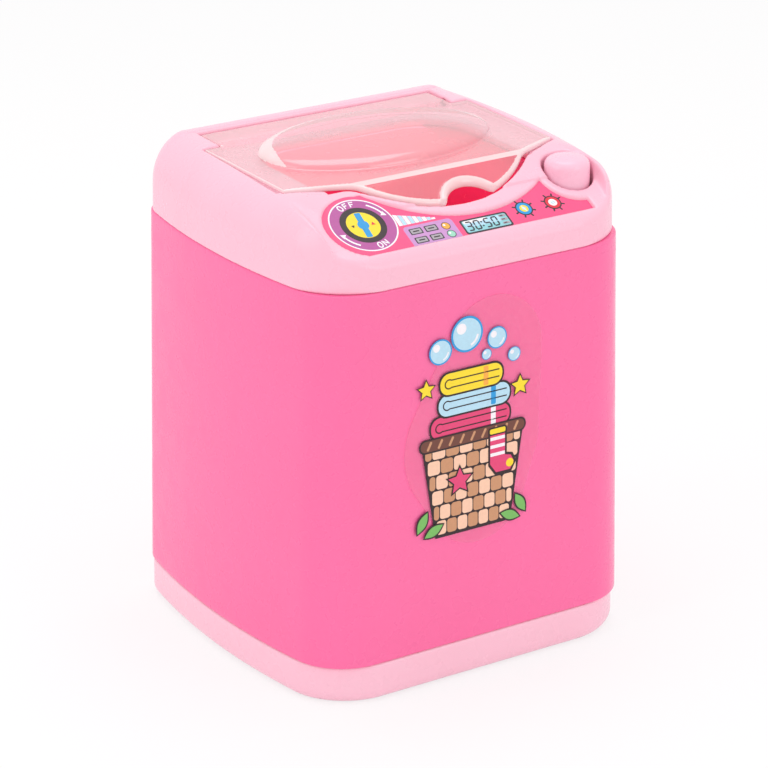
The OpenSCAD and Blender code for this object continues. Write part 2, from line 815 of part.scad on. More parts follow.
module lid() {
    color("#ffc3cb", 0.6) {
        difference() {
            intersection() {
                linear_extrude(big) lid_plan();
                lid_sheet(0, lid_t);
            }
            translate([notch_x, notch_y, 0]) post(notch_r, 0, big);
            translate([0, bulge_y, 0])
                linear_extrude(big) oval(bulge_w - lid_t, bulge_d - lid_t);
        }
        translate([0, bulge_y, 0]) bulge();
        for (sx = [-1, 1])
            translate([sx * (lid_tail_w / 2 - 1.5), hinge_y, hinge_z])
                rotate([0, sx * 90, 0])
                    cylinder(r = hinge_pin_r, h = hinge_pin_l + 1.5);
        // Solid root under each pin, so that the pin meets the lid's edge
        for (sx = [-1, 1])
            translate([sx * (lid_tail_w / 2 - 1.5) - 1.5, hinge_y - 1.2, hinge_z - 0.9])
                cube([3, 2.4, 1.2]);
    }
}
// Points of an oval about the origin
bulge_steps = 48;
function oval_points(w, d) = [
    for (i = [0:bulge_steps - 1])
        let (a = 360 * i / bulge_steps)
            [w / 2 * cos(a), d / 2 * sin(a)]
];
module oval(w, d) {
    polygon(oval_points(w, d));
}
// Ring of the bulge, at a turn of 0 for its foot and 90 for its top
function bulge_ring(turn, t) =
    let (
        share = pow(cos(turn), 0.7),
        z = lid_z - t + bulge_h * pow(sin(turn), 0.9)
    )
        [for (p = oval_points(bulge_w - 2 * t, bulge_d - 2 * t)) [p.x * share, p.y * share, z]];
module bulge() {
    turns = [0, 12, 25, 40, 55, 70, 82];
    difference() {
        loft(
            concat(
                [[for (p = oval_points(bulge_w, bulge_d)) [p.x, p.y, lid_z - lid_t]]],
                [for (turn = turns) bulge_ring(turn, 0)]
            ),
            [0, 0, lid_z + bulge_h]
        );
        loft(
            concat(
                [[for (p = oval_points(bulge_w - 2 * lid_t, bulge_d - 2 * lid_t))
                    [p.x, p.y, lid_z - 2 * lid_t]]],
                [for (turn = turns) bulge_ring(turn, lid_t)]
            ),
            [0, 0, lid_z + bulge_h - lid_t]
        );
    }
}

// Plan of the tub's inside, grown by a wall
module tub_plan(grow) {
    offset(r = tub_corner_r + grow, $fn = 64)
        offset(delta = -tub_corner_r)
            intersection() {
                translate([flap_x, flap_y]) circle(tub_front_r, $fn = 96);
                translate([-tub_w / 2, -big + tub_rear_y]) square([tub_w, big]);
            }
}
// Plan of the tub's flange, with an ear for each screw
module flange_plan() {
    half = opening_w / 2 + 7.2;
    translate([-half, lid_wing_y - 3]) square([2 * half, trough_front_y - trough_wall - 0.3 - lid_wing_y + 3]);
    intersection() {
        translate([flap_x, flap_y]) circle(open_r + 1, $fn = 96);
        translate([flap_x - open_r, -big + lid_wing_y]) square([2 * open_r, big]);
    }
    for (p = tub_posts) {
        side = p.x > 0 ? 1 : -1;
        inner = side * (lid_tail_w / 2 + lid_gap + trough_wall + 0.4);
        translate([p.x, p.y]) circle(tub_post_r + 0.2);
        translate([min(inner, p.x + side * 2.4), p.y > 0 ? trough_front_y - 8 : p.y])
            square([abs(p.x + side * 2.4 - inner), p.y > 0 ? p.y - trough_front_y + 8 : 7]);
    }
}
module wash_tub() {
    boss_r = bush_r + 2;
    color("#f62f58") difference() {
        union() {
            intersection() {
                linear_extrude(big) flange_plan();
                lid_sheet(flange_depth, flange_t);
            }
            difference() {
                translate([0, 0, tub_under_z])
                    linear_extrude(lid_z - tub_under_z) tub_plan(tub_wall);
                above_lid_line(flange_depth + flange_t / 2);
            }
            translate([0, drive_y, 0]) post(boss_r, bush_z, tub_under_z + cut);
            for (p = bracket_posts)
                translate([p.x, p.y, 0]) post(bracket_post_r, bracket_top, tub_under_z + cut);
        }
        translate([0, 0, tub_floor_z]) linear_extrude(big) tub_plan(0);
        translate([0, drive_y, 0]) {
            post(bush_r + fit_gap, 0, tub_floor_z - seal_t + cut / 2);
            post(seal_r + fit_gap, tub_floor_z - seal_t, big);
        }
        for (p = bracket_posts)
            translate([p.x, p.y, 0])
                post(small_screw_r + screw_gap, 0, tub_under_z - 1);
        for (p = tub_posts)
            translate([p.x, p.y, 0]) post(small_screw_r + screw_gap, 0, big);
        translate([button_x, button_y, 0])
            post(guide_r + guide_wall + flange_guide_gap, 0, big);
        for (side = [0, 180])
            rotate(side)
                translate([flange_bevel_x, -big / 2, flange_z + 0.1])
                    rotate([0, flange_bevel_angle, 0])
                        cube([10, big, 10]);
    }
}
module tub_screws() {
    color("silver") for (p = tub_posts)
        translate([p.x, p.y, tub_screw_z(p.y)]) screw(small_screw_r, lid_z - 1.6 - tub_screw_z(p.y));
}
// Underside of the flange where a tub screw's head bears
function tub_screw_z(y) = flange_z - flange_t;

module front_sticker() {
    color("#f7c9da", 0.7)
        translate([-3.5, front_y * scale_at(sticker_z), sticker_z])
            rotate([90 - face_lean, 0, 0])
                linear_extrude(film_t) sticker_plan();
}
// Outline of the sticker, as three rounded lobes
module sticker_plan() {
    low_r = sticker_w / 2;
    top_r = 0.72 * low_r;
    hull() {
        translate([0.16 * sticker_w, sticker_h / 2 - top_r]) circle(top_r);
        translate([0, -sticker_h * 0.08]) circle(low_r);
        translate([0.04 * sticker_w, -sticker_h / 2 + top_r]) circle(top_r);
    }
}

module power_button() {
    hollow_z = guide_z + 1.5;
    color("#ffcee3") translate([button_x, button_y, 0]) difference() {
        rotate_extrude() polygon([
            [0, stem_z], [stem_r, stem_z], [stem_r, hollow_z], [button_r - 1.2, hollow_z],
            [button_r - 1.2, button_skirt_z], [button_flange_r, button_skirt_z],
            [button_flange_r, button_skirt_z + button_flange_t],
            [button_r, button_skirt_z + button_flange_t],
            [button_r, button_top_z - 2], [button_r - 0.3, button_top_z - 1.1],
            [button_r - 1, button_top_z - 0.5], [button_r - 2.2, button_top_z - 0.15],
            [0, button_top_z]
        ]);
        post(plunger_r + fit_gap, stem_z - cut, plunger_top_z + 0.1);
    }
}
module switch_case() {
    color("#2b2b2f") translate([button_x, button_y, 0]) difference() {
        rotate(switch_angle)
            translate([-switch_size / 2, -switch_size / 2, switch_z])
                cube([switch_size, switch_size, switch_h]);
        post(plunger_r + run_gap, switch_top_z - button_travel - 1.5, switch_top_z + cut);
    }
}
module switch_plunger() {
    color("white") translate([button_x, button_y, 0])
        post(plunger_r, switch_top_z - 1, plunger_top_z);
}
module switch_terminals() {
    color("#d9b45a") translate([button_x, button_y, 0]) rotate(switch_angle)
        for (x = [-2, 2])
            translate([x - 0.5, -0.2, switch_z - terminal_l]) cube([1, 0.4, terminal_l]);
}
module switch_bracket() {
    color("#fcc8dd") difference() {
        hull() for (p = [switch_post_a, switch_post_b])
            translate([p.x, p.y, 0]) post(switch_post_r + 0.8, switch_z - switch_plate_t, switch_z);
        for (p = [switch_post_a, switch_post_b])
            translate([p.x, p.y, 0]) post(small_screw_r + screw_gap, 0, big);
        translate([button_x, button_y, 0]) rotate(switch_angle)
            for (x = [-2, 2])
                translate([x - 0.8, -0.6, 0]) cube([1.6, 1.2, big]);
    }
}
module switch_screws() {
    color("silver") for (p = [switch_post_a, switch_post_b])
        translate([p.x, p.y, switch_z - switch_plate_t]) screw(small_screw_r, 7);
}

// Angle that a gear flank leans inwards from its pitch point, by involute
function involute(c) = tan(c) - c * PI / 180;
function tooth_half(r, pitch_r, teeth, slack) =
    let (base_r = pitch_r * cos(20), press = acos(min(1, base_r / r)))
        90 / teeth - slack / pitch_r * 180 / PI + (involute(20) - involute(press)) * 180 / PI;
function gear_points(teeth, slack) =
    let (
        pitch_r = gear_module * teeth / 2,
        root_r = pitch_r - 1.25 * gear_module,
        tip_r = pitch_r + 0.9 * gear_module,
        foot_r = max(root_r + 0.05, pitch_r * cos(20)),
        flank = [foot_r, (foot_r + tip_r) / 2, tip_r]
    )
        [
            for (i = [0:teeth - 1])
                let (mid = 360 * i / teeth, root_a = 0.85 * tooth_half(foot_r, pitch_r, teeth, slack))
                    each concat(
                        [root_r * [cos(mid - root_a), sin(mid - root_a)]],
                        [for (r = flank)
                            let (a = mid - tooth_half(r, pitch_r, teeth, slack))
                                r * [cos(a), sin(a)]],
                        [for (k = [2:-1:0])
                            let (a = mid + tooth_half(flank[k], pitch_r, teeth, slack))
                                flank[k] * [cos(a), sin(a)]],
                        [root_r * [cos(mid + root_a), sin(mid + root_a)]]
                    )
        ];
// Thinning of each tooth flank, for backlash
tooth_slack = 0.04;

module drive_gear() {
    color("white") translate([0, drive_y, 0]) difference() {
        union() {
            translate([0, 0, gear_z]) linear_extrude(gear_t) polygon(gear_points(gear_teeth, tooth_slack));
            post(shaft_r + 2.4, gear_z - 0.8, gear_z + gear_t + 0.6);
        }
        post(shaft_r + fit_gap, 0, big);
        for (i = [0:4])
            rotate(72 * i) translate([gear_module * gear_teeth * 0.3, 0, 0]) post(1.9, 0, big);
    }
}
module motor_pinion() {
    color("white") translate([0, motor_y, 0]) difference() {
        rotate(180 / pinion_teeth) translate([0, 0, gear_z - 0.6])
            linear_extrude(gear_t + 1.2) polygon(gear_points(pinion_teeth, tooth_slack));
        post(motor_shaft_r + fit_gap, 0, big);
    }
}
module pulsator_shaft() {
    color("silver") translate([0, drive_y, 0]) post(shaft_r, shaft_z, shaft_top_z);
}
module shaft_clip() {
    color("#555555") translate([0, drive_y, 0])
        tube(shaft_r + 1.6, shaft_r + fit_gap, bracket_z - 0.1 - clip_t, bracket_z - 0.1);
}
module shaft_bush() {
    color("#c8a24a") translate([0, drive_y, 0])
        tube(bush_r, shaft_r + run_gap, bush_z - 0.4, tub_floor_z - seal_t);
}
module shaft_seal() {
    color("#333333") translate([0, drive_y, 0])
        tube(seal_r, shaft_r + run_gap, tub_floor_z - seal_t, tub_floor_z + 0.5);
}
module pulsator() {
    vane_r = pulsator_r - 1.5;
    color("#fcd3e2") translate([0, drive_y, 0]) difference() {
        union() {
            rotate_extrude($fn = 72) polygon([
                [0, pulsator_z], [pulsator_r - 0.6, pulsator_z], [pulsator_r, pulsator_z + 0.6],
                [pulsator_r, pulsator_z + pulsator_t], [9, pulsator_z + pulsator_t + 0.8],
                [5, pulsator_top_z - 2], [3.6, pulsator_top_z - 0.6], [0, pulsator_top_z]
            ]);
            for (i = [0:3])
                rotate(90 * i + 45) translate([0, 1.1, 0]) rotate([90, 0, 0]) linear_extrude(2.2)
                    polygon([
                        [2, pulsator_z + 1], [vane_r, pulsator_z + 1], [vane_r, pulsator_z + 3],
                        [vane_r - 2.5, pulsator_z + 5], [8, pulsator_z + 5.6], [2, pulsator_top_z - 1]
                    ]);
        }
        post(shaft_r + fit_gap, 0, shaft_top_z + 0.1);
    }
}

// Plan of the motor's can, a circle with two flats
module motor_plan(shrink) {
    intersection() {
        circle(motor_r - shrink);
        square([3 * motor_r, motor_flat - 2 * shrink], center = true);
    }
}
module motor_can() {
    can_wall = 0.8;
    color("#c9ccd1") translate([0, motor_y, 0]) difference() {
        union() {
            translate([0, 0, can_z]) linear_extrude(motor_l) motor_plan(0);
            post(3, bracket_z - cut, bracket_z + 1.5);
        }
        translate([0, 0, can_z - cut]) linear_extrude(motor_l - 1 + cut) motor_plan(can_wall);
        post(motor_shaft_r + run_gap, 0, big);
    }
}
module motor_magnets() {
    magnet_w = 12;
    magnet_gap = 4;
    color("#44464a") translate([0, motor_y, can_z + magnet_foot]) linear_extrude(magnet_l)
        difference() {
            intersection() {
                motor_plan(0.85);
                for (side = [-1, 1])
                    translate([side * (magnet_gap + big) / 2, 0]) square([big, magnet_w], center = true);
            }
            circle(6.9);
        }
}
module motor_armature() {
    color("#a5642e") translate([0, motor_y, can_z + 3]) difference() {
        union() {
            cylinder(r = 6.3, h = 11);
            cylinder(r = 2.4, h = 14);
        }
        for (i = [0:2]) rotate(120 * i + 30) translate([3.2, -0.7, -cut]) cube([4, 1.4, 11 + 2 * cut]);
        translate([0, 0, -cut]) cylinder(r = motor_shaft_r + fit_gap, h = 20);
    }
}
module motor_end_cap() {
    color("#f2efe6") translate([0, motor_y, 0]) difference() {
        union() {
            translate([0, 0, motor_z]) linear_extrude(motor_cap_l) motor_plan(0);
            post(2.6, motor_z - 1.6, motor_z + cut);
        }
        translate([0, 0, can_z - 3]) linear_extrude(big) motor_plan(2);
        post(motor_shaft_r + run_gap, motor_z - 1, big);
    }
}
module motor_terminals() {
    color("#d9b45a") translate([0, motor_y, motor_z + 1])
        for (sx = [-1, 1])
            translate([sx * motor_r - (sx < 0 ? 2.6 : 0), -1.2, 0]) cube([2.6, 2.4, 0.5]);
}
module motor_shaft() {
    color("silver") translate([0, motor_y, 0])
        post(motor_shaft_r, motor_z - 0.9, gear_z + gear_t + 1);
}
module motor_bracket() {
    arm_gap = 0.15;
    arm_t = 1.2;
    color("#f4f4f4") difference() {
        union() {
            linear_extrude_at(bracket_z, bracket_t) hull() {
                for (p = bracket_posts) translate([p.x, p.y]) circle(bracket_post_r + 1);
                for (sx = [-1, 1]) translate([sx * 8, motor_y - 7.5]) circle(3);
            }
            for (sy = [-1, 1])
                translate([0, motor_y, 0]) rotate(sy > 0 ? 0 : 180) {
                    translate([-4, motor_flat / 2 + arm_gap, motor_z - 1])
                        cube([8, arm_t, bracket_z - motor_z + 1.5]);
                    translate([-4, motor_flat / 2 - 0.8, motor_z - 1.1])
                        cube([8, arm_t + arm_gap + 0.8, 1]);
                }
        }
        translate([0, drive_y, 0]) post(shaft_r + run_gap, 0, big);
        translate([0, motor_y, 0]) post(3 + fit_gap, bracket_z - cut, big);
        for (p = bracket_posts)
            translate([p.x, p.y, 0]) post(small_screw_r + screw_gap, 0, big);
    }
}
// Extrude a plan from a height
module linear_extrude_at(z, h) {
    translate([0, 0, z]) linear_extrude(h) children();
}
module bracket_screws() {
    color("silver") for (p = bracket_posts)
        translate([p.x, p.y, bracket_z]) screw(small_screw_r, bracket_screw_l);
}
module base_screws() {
    color("silver") for (p = case_posts)
        translate([p.x, p.y, case_head_z]) screw(screw_r, base_screw_l);
}

// AA cell along X with its contact at the side given by the sign
module cell(sign) {
    case_l = cell_l - 1.2;
    translate([sign * (plate_x - cell_l / 2), 0, 0]) rotate([0, sign * 90, 0]) {
        translate([0, 0, -cell_l / 2]) cylinder(r = cell_r, h = case_l);
        cylinder(r = 2.7, h = cell_l / 2);
    }
}
module front_cell() {
    color("#3d9b57") translate([0, front_cell_y, cell_z]) cell(1);
}
module rear_cell() {
    color("#3d9b57") translate([0, rear_cell_y, cell_z]) cell(-1);
}
module contact_plates() {
    plate_w = 2 * cell_r - 2;
    plate_z = base_floor + 0.6;
    plate_h = box_top_z - 0.2 - plate_z;
    color("#c9ccd1") {
        for (y = [front_cell_y, rear_cell_y]) {
            translate([-box_half_l, y - plate_w / 2, plate_z]) cube([plate_t, plate_w, plate_h]);
            translate([-box_half_l, y - 1.4, box_top_z - 1]) cube([plate_t, 2.8, tab_top_z - box_top_z + 1]);
        }
        translate([plate_x, front_cell_y - plate_w / 2, plate_z])
            cube([plate_t, rear_cell_y - front_cell_y + plate_w, plate_h]);
    }
}
// Conical contact spring from x = 0 along +X, wide end first
module contact_spring() {
    wire = 0.35;
    turns = 4;
    steps = 8 * turns;
    path = [
        for (i = [0:steps])
            let (u = i / steps, a = 360 * turns * u, r = 4.2 - 1.8 * u)
                [wire + (contact_spring_l - 2 * wire) * u, r * cos(a), r * sin(a)]
    ];
    tube_along(path, wire, 6);
}
module contact_springs() {
    color("silver") {
        translate([-plate_x, front_cell_y, cell_z]) contact_spring();
        translate([plate_x, rear_cell_y, cell_z]) rotate(180) contact_spring();
    }
}
module button_spring() {
    wire = 0.3;
    turns = 7;
    steps = 8 * turns;
    top = guide_z + 1.5;
    path = [
        for (i = [0:steps])
            let (u = i / steps, a = 360 * turns * u)
                [3.15 * cos(a), 3.15 * sin(a), switch_top_z + wire + (top - switch_top_z - 2 * wire) * u]
    ];
    color("silver") translate([button_x, button_y, 0]) tube_along(path, wire, 6);
}

// Tube along a path of points, with frames carried along it
function unit(v) = v / norm(v);
function heading(p, i) = unit(p[min(i + 1, len(p) - 1)] - p[max(i - 1, 0)]);
function frames(p, i = 0, last = undef) =
    i >= len(p)
        ? []
        : let (
            t = heading(p, i),
            guess = is_undef(last) ? (abs(t.z) < 0.9 ? [0, 0, 1] : [1, 0, 0]) : last,
            side = unit(guess - t * (guess * t))
        )
            concat([[side, cross(t, side)]], frames(p, i + 1, side));
module tube_along(path, r, n) {
    f = frames(path);
    loft([
        for (i = [0:len(path) - 1])
            [for (j = [0:n - 1])
                path[i] + r * (f[i][0] * cos(360 * j / n) + f[i][1] * sin(360 * j / n))]
    ]);
}
// Smooth curve through hand-chosen points
function smooth(p, steps) =
    let (n = len(p))
        concat(
            [
                for (i = [0:n - 2], k = [0:steps - 1])
                    let (
                        a = p[max(i - 1, 0)],
                        b = p[i],
                        c = p[i + 1],
                        d = p[min(i + 2, n - 1)],
                        u = k / steps
                    )
                        0.5 * (2 * b + (c - a) * u + (2 * a - 5 * b + 4 * c - d) * u * u
                            + (3 * b - 3 * c + d - a) * u * u * u)
            ],
            [p[n - 1]]
        );
wire_steps = 5;
// Wire ends at the switch, on its terminals' lower ends
terminal_dx = 2 * cos(switch_angle);
terminal_dy = 2 * sin(switch_angle);
terminal_z = switch_z - terminal_l;
motor_tab_z = motor_z + 1.5;
red_route = [
    [-box_half_l + plate_t / 2, rear_cell_y, tab_top_z],
    [-box_half_l + plate_t / 2, rear_cell_y, tab_top_z + 1],
    [-box_half_l + plate_t / 2, rear_cell_y, tab_top_z + 4],
    [-31, rear_cell_y - 2, 32],
    [10.5 - body_w / 2, 8, 50],
    [9.5 - body_w / 2, -12, 66],
    [14.5 - body_w / 2, front_y + 11.7, 74],
    [-12, front_y + 6.7, 75],
    [12, front_y + 6.7, 72],
    [button_x - terminal_dx, button_y - terminal_dy, terminal_z - 5],
    [button_x - terminal_dx, button_y - terminal_dy, terminal_z - 1],
    [button_x - terminal_dx, button_y - terminal_dy, terminal_z]
];
blue_route = [
    [button_x + terminal_dx, button_y + terminal_dy, terminal_z],
    [button_x + terminal_dx, button_y + terminal_dy, terminal_z - 1],
    [button_x + terminal_dx, button_y + terminal_dy, terminal_z - 5],
    [35, -24, 60],
    [34, -20, 44],
    [26, -16, 30],
    [16, motor_y, 18],
    [motor_r + 1.4, motor_y, motor_tab_z + 4],
    [motor_r + 1.4, motor_y, motor_tab_z + 1],
    [motor_r + 1.4, motor_y, motor_tab_z]
];
black_route = [
    [-box_half_l + plate_t / 2, front_cell_y, tab_top_z],
    [-box_half_l + plate_t / 2, front_cell_y, tab_top_z + 1],
    [-box_half_l + plate_t / 2, front_cell_y, tab_top_z + 4],
    [-24, -8, tab_top_z + 5],
    [-17, -14, 19],
    [-motor_r - 1.4, motor_y, motor_tab_z + 4],
    [-motor_r - 1.4, motor_y, motor_tab_z + 1],
    [-motor_r - 1.4, motor_y, motor_tab_z]
];
module red_wire() {
    color("#d8262b") tube_along(smooth(red_route, wire_steps), wire_r, 8);
}
module blue_wire() {
    color("#2f6fd0") tube_along(smooth(blue_route, wire_steps), wire_r, 8);
}
module black_wire() {
    color("#26262a") tube_along(smooth(black_route, wire_steps), wire_r, 8);
}

top_cover();
body_shell();
base();
lid();
wash_tub();
control_label();
front_sticker();
power_button();
button_spring();
switch_case();
switch_plunger();
switch_terminals();
switch_bracket();
switch_screws();
pulsator();
pulsator_shaft();
shaft_bush();
shaft_seal();
shaft_clip();
drive_gear();
motor_pinion();
motor_shaft();
motor_armature();
motor_can();
motor_magnets();
motor_end_cap();
motor_terminals();
motor_bracket();
bracket_screws();
tub_screws();
base_screws();
battery_door();
front_cell();
rear_cell();
contact_plates();
contact_springs();
red_wire();
blue_wire();
black_wire();
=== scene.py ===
# %% [markdown]
# A toy washing machine in pink plastic
#
# The real toy is a handful of injection moulded shells with a printed label, a sticker and
# a small motor inside. The construction model already fixes every size and every joint.
# This lesson dresses that model: it gives each shell its soft moulded edges, prints the label
# and the sticker, and finishes every piece with a material built from nodes.

import cmath
import json
import math

import bmesh
import bpy
import numpy as np
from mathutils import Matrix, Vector


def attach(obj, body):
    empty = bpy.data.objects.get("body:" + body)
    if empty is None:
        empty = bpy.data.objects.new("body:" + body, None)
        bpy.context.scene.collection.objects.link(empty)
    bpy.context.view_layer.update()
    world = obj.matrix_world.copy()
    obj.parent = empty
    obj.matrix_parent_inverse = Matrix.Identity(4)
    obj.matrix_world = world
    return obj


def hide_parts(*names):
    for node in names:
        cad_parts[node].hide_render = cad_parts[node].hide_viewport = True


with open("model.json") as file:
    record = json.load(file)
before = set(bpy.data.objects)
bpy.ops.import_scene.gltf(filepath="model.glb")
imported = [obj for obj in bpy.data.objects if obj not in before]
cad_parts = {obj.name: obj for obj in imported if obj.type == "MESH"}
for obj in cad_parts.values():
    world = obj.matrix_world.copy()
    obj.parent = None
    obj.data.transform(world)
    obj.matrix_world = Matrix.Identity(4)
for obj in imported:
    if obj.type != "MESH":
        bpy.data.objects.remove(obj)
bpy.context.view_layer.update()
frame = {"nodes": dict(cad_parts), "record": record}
MM = 0.001

# %% [markdown]
# The camera comes first
#
# A photograph of a small object is usually taken from far away with a long lens, so that its
# upright edges stay nearly parallel. The direction, the distance and the lens here were worked
# out from the edges of the body, which is drafted, and not from a guess.

# %% Place the camera
AIM = Vector((-0.467, 0.299, 56.71)) * MM
DISTANCE = 772.25 * MM
TOWARDS_CAMERA = Vector((-0.5003, -0.7815, 0.3728)).normalized()
LENS_MM, SENSOR_MM = 155.59, 36.0
NEAREST_M = 0.01


def aimed_object(name, data, place, direction=None):
    """Puts a camera or a lamp at a place, looking back along a direction or straight down."""
    thing = bpy.data.objects.new(name, data)
    thing.location = place
    if direction is not None:
        thing.rotation_euler = direction.to_track_quat("Z", "Y").to_euler()
    bpy.context.scene.collection.objects.link(thing)
    return thing


camera_data = bpy.data.cameras.new("studio_camera")
camera_data.lens, camera_data.sensor_width = LENS_MM, SENSOR_MM
camera_data.clip_start = NEAREST_M
camera = aimed_object(
    "studio_camera", camera_data, AIM + DISTANCE * TOWARDS_CAMERA, TOWARDS_CAMERA
)
bpy.context.scene.camera = camera
bpy.context.scene.view_settings.view_transform = "Standard"
print("camera stands", round(camera.location.length, 3), "m from the origin")

# %% [markdown]
# Studio light
#
# Product photographs of toys use a light tent: white cloth on all sides, with a little more
# light from one side so that the form still reads. A bright even world does the work of the
# cloth. Three large lamps add the direction, and their soft edges show in the gloss. The
# camera sees the backdrop as plain white, as it is in such a photograph.

# %% Helpers for node trees
PURE_WHITE = (1.0, 1.0, 1.0, 1.0)


class Tree:
    """The shader tree of a material or a world."""

    def __init__(self, owner, empty=False):
        owner.use_nodes = True
        self.nodes, self.links = owner.node_tree.nodes, owner.node_tree.links
        if empty:
            self.nodes.clear()

    def feed(self, node, inputs):
        """Sets each input to a number or a colour, or joins it to another node's socket."""
        for name, value in inputs.items():
            if isinstance(value, bpy.types.NodeSocket):
                self.links.new(value, node.inputs[name])
            else:
                node.inputs[name].default_value = value

    def add(self, kind, inputs, output=0):
        node = self.nodes.new("ShaderNode" + kind)
        self.feed(node, inputs)
        return node.outputs[output] if node.outputs else None

    def seen_directly(self):
        """1 for what the camera sees, straight or through gloss and clear plastic."""
        path = self.nodes.new("ShaderNodeLightPath").outputs
        total = path["Is Camera Ray"]
        for ray in ("Is Glossy Ray", "Is Transmission Ray"):
            total = self.add("Math", {0: total, 1: path[ray]})
            total.node.operation = "ADD"
            total.node.use_clamp = True
        return total

    def end(self, kind, everyday, seen):
        """Ends the tree with one shader for lighting and one for what is seen directly."""
        pick = self.add("MixShader", {"Fac": self.seen_directly(), 1: everyday, 2: seen})
        self.add(kind, {"Surface": pick})


# %% Light the set
WORLD_STRENGTH = 0.74
CLOTH_COLOUR = (1.0, 0.985, 0.99, 1.0)


def build_world():
    world = bpy.data.worlds.new("light_tent")
    tree = Tree(world, empty=True)
    cloth = tree.add("Background", {"Color": CLOTH_COLOUR, "Strength": WORLD_STRENGTH})
    white = tree.add("Background", {"Color": PURE_WHITE, "Strength": 1.0})
    tree.end("OutputWorld", cloth, white)
    bpy.context.scene.world = world


def soft_lamp(name, place, width, power, straight_down=False):
    """A square lamp that faces the toy or straight down, in metres and watts."""
    data = bpy.data.lights.new(name, "AREA")
    data.shape = "SQUARE"
    data.size = width
    data.energy = power
    aimed_object(name, data, place, None if straight_down else Vector(place) - AIM)
    return data


build_world()
# The milky lid would scatter daylight down into the tub. A see-through material does not
# scatter, so two faint lamps under the lid, facing down, give the tub and the trough at
# the hinge that light.
soft_lamp("tub_light", (0.0, 0.002, 0.1115), 0.042, 0.0046, straight_down=True)
trough_light = soft_lamp("trough_light", (0.0, 0.0275, 0.1125), 0.060, 0.0007, straight_down=True)
trough_light.shape = "RECTANGLE"
trough_light.size_y = 0.005
soft_lamp("side_lamp", (-0.75, 0.05, 0.42), 0.55, 1.15)
soft_lamp("top_lamp", (0.05, 0.1, 0.85), 0.6, 2.1)
soft_lamp("front_lamp", (0.3, -0.9, 0.4), 0.5, 1.3)

# %% [markdown]
# Materials that look moulded
#
# Glossy plastic is never one flat colour. Pigment swirls a little as it flows, the polished
# mould leaves a fine orange peel, and its gloss is uneven. Each of these is a small noise
# that drives colour, roughness or bump, at the scale in millimetres that the real one has.

# %% Helpers for materials


def linear(red, green, blue):
    """A colour given as screen values from 0 to 255, as the linear light that shaders use."""
    def channel(value):
        share = value / 255
        return share / 12.92 if share <= 0.04045 else ((share + 0.055) / 1.055) ** 2.4

    return (channel(red), channel(green), channel(blue), 1.0)


def noise(tree, size_mm, detail):
    """A noise fixed to the object, whose largest features are about size_mm across."""
    place = tree.add("TexCoord", {}, "Object")
    scale = {"Scale": 1000 / size_mm, "Detail": detail, "Roughness": 0.5}
    return tree.add("TexNoise", {"Vector": place, **scale}, "Fac")


def drifting_colour(tree, colour, size_mm, spread):
    """The colour, drifting by a spread on either side of its value."""
    output = tree.add("ValToRGB", {"Fac": noise(tree, size_mm, 3.0)}, "Color")
    darker, lighter = output.node.color_ramp.elements
    darker.position, lighter.position = 0.3, 0.7
    darker.color = tuple(c * (1 - spread) for c in colour[:3]) + (1.0,)
    lighter.color = tuple(min(1, c * (1 + spread)) for c in colour[:3]) + (1.0,)
    return output


def uneven(tree, low, high, size_mm):
    limits = {"From Min": 0.35, "From Max": 0.65, "To Min": low, "To Max": high}
    return tree.add("MapRange", {"Value": noise(tree, size_mm, 4.0), **limits}, "Result")


def bumps(tree, size_mm, height_mm, strength=0.5):
    height = {"Strength": strength, "Distance": height_mm * MM}
    return tree.add("Bump", {"Height": noise(tree, size_mm, 2.0), **height}, "Normal")


def surface(name, colour, drift, rough, bump=None, **values):
    """A material from a screen colour, three small noises and values for its own sockets.

    drift is (size in mm, spread of colour), rough is (lowest, highest, size in mm) and
    bump is (size in mm, height in mm, strength).
    """
    material = bpy.data.materials.new(name)
    tree = Tree(material)
    values["Base Color"] = drifting_colour(tree, linear(*colour), *drift)
    values["Roughness"] = uneven(tree, *rough)
    if bump:
        values["Normal"] = bumps(tree, *bump)
    tree.feed(tree.nodes["Principled BSDF"], values)
    return material


print("half brightness on screen is", round(linear(128, 128, 128)[0], 3), "in linear light")

# %% Plastics of the shells


def moulded_plastic(name, colour, low=0.22, high=0.34):
    """Glossy injection moulded plastic."""
    return surface(name, colour, (26, 0.018), (low, high, 5), (3.0, 0.004), IOR=1.5)


PLASTICS = {
    "cover_pink": moulded_plastic("cover_plastic", (255, 194, 213)),
    "shell_pink": moulded_plastic("shell_plastic", (255, 111, 167)),
    "base_pink": moulded_plastic("base_plastic", (255, 199, 216)),
    "button_pink": moulded_plastic("button_plastic", (255, 198, 218)),
    "tub_crimson": moulded_plastic("tub_plastic", (255, 66, 122), 0.18, 0.28),
    "pulsator_pink": moulded_plastic("pulsator_plastic", (252, 208, 226)),
}
print("plastics:", list(PLASTICS))

# %% [markdown]
# The milky lid
#
# The lid is clear plastic with a little white and peach in it, so the tub shows through it as
# a rosy shade while its edges look almost white. A clear sheet keeps all its gloss, but a
# material that is partly see-through loses as much of its gloss as of its colour, so a strong
# clear coat gives the gloss back.

# %% Lid plastic


def milky_plastic(name, colour, cover, gloss=1.0):
    coat = {"Coat Weight": gloss, "Coat IOR": 2.3, "Coat Roughness": 0.12}
    return surface(
        name, colour, (18, 0.02), (0.16, 0.28, 4), (11, 0.02, 0.3), Alpha=cover, IOR=1.49, **coat
    )


LID_COLOUR = (255, 208, 213)
LID_COVER = 0.52
PLASTICS["lid_milky"] = milky_plastic("lid_plastic", LID_COLOUR, LID_COVER)
print("the lid hides", LID_COVER, "of what is behind it")

# %% [markdown]
# Metals, rubber and the rest
#
# Inside sit steel screws, a bronze bush, nylon gears, a motor and two cells. They show only
# when the toy is opened, but each gets its own finish: drawn wire is finely streaked, zinc
# plate is cloudy, sintered bronze is grainy, and rubber is dull.

# %% Inner finishes


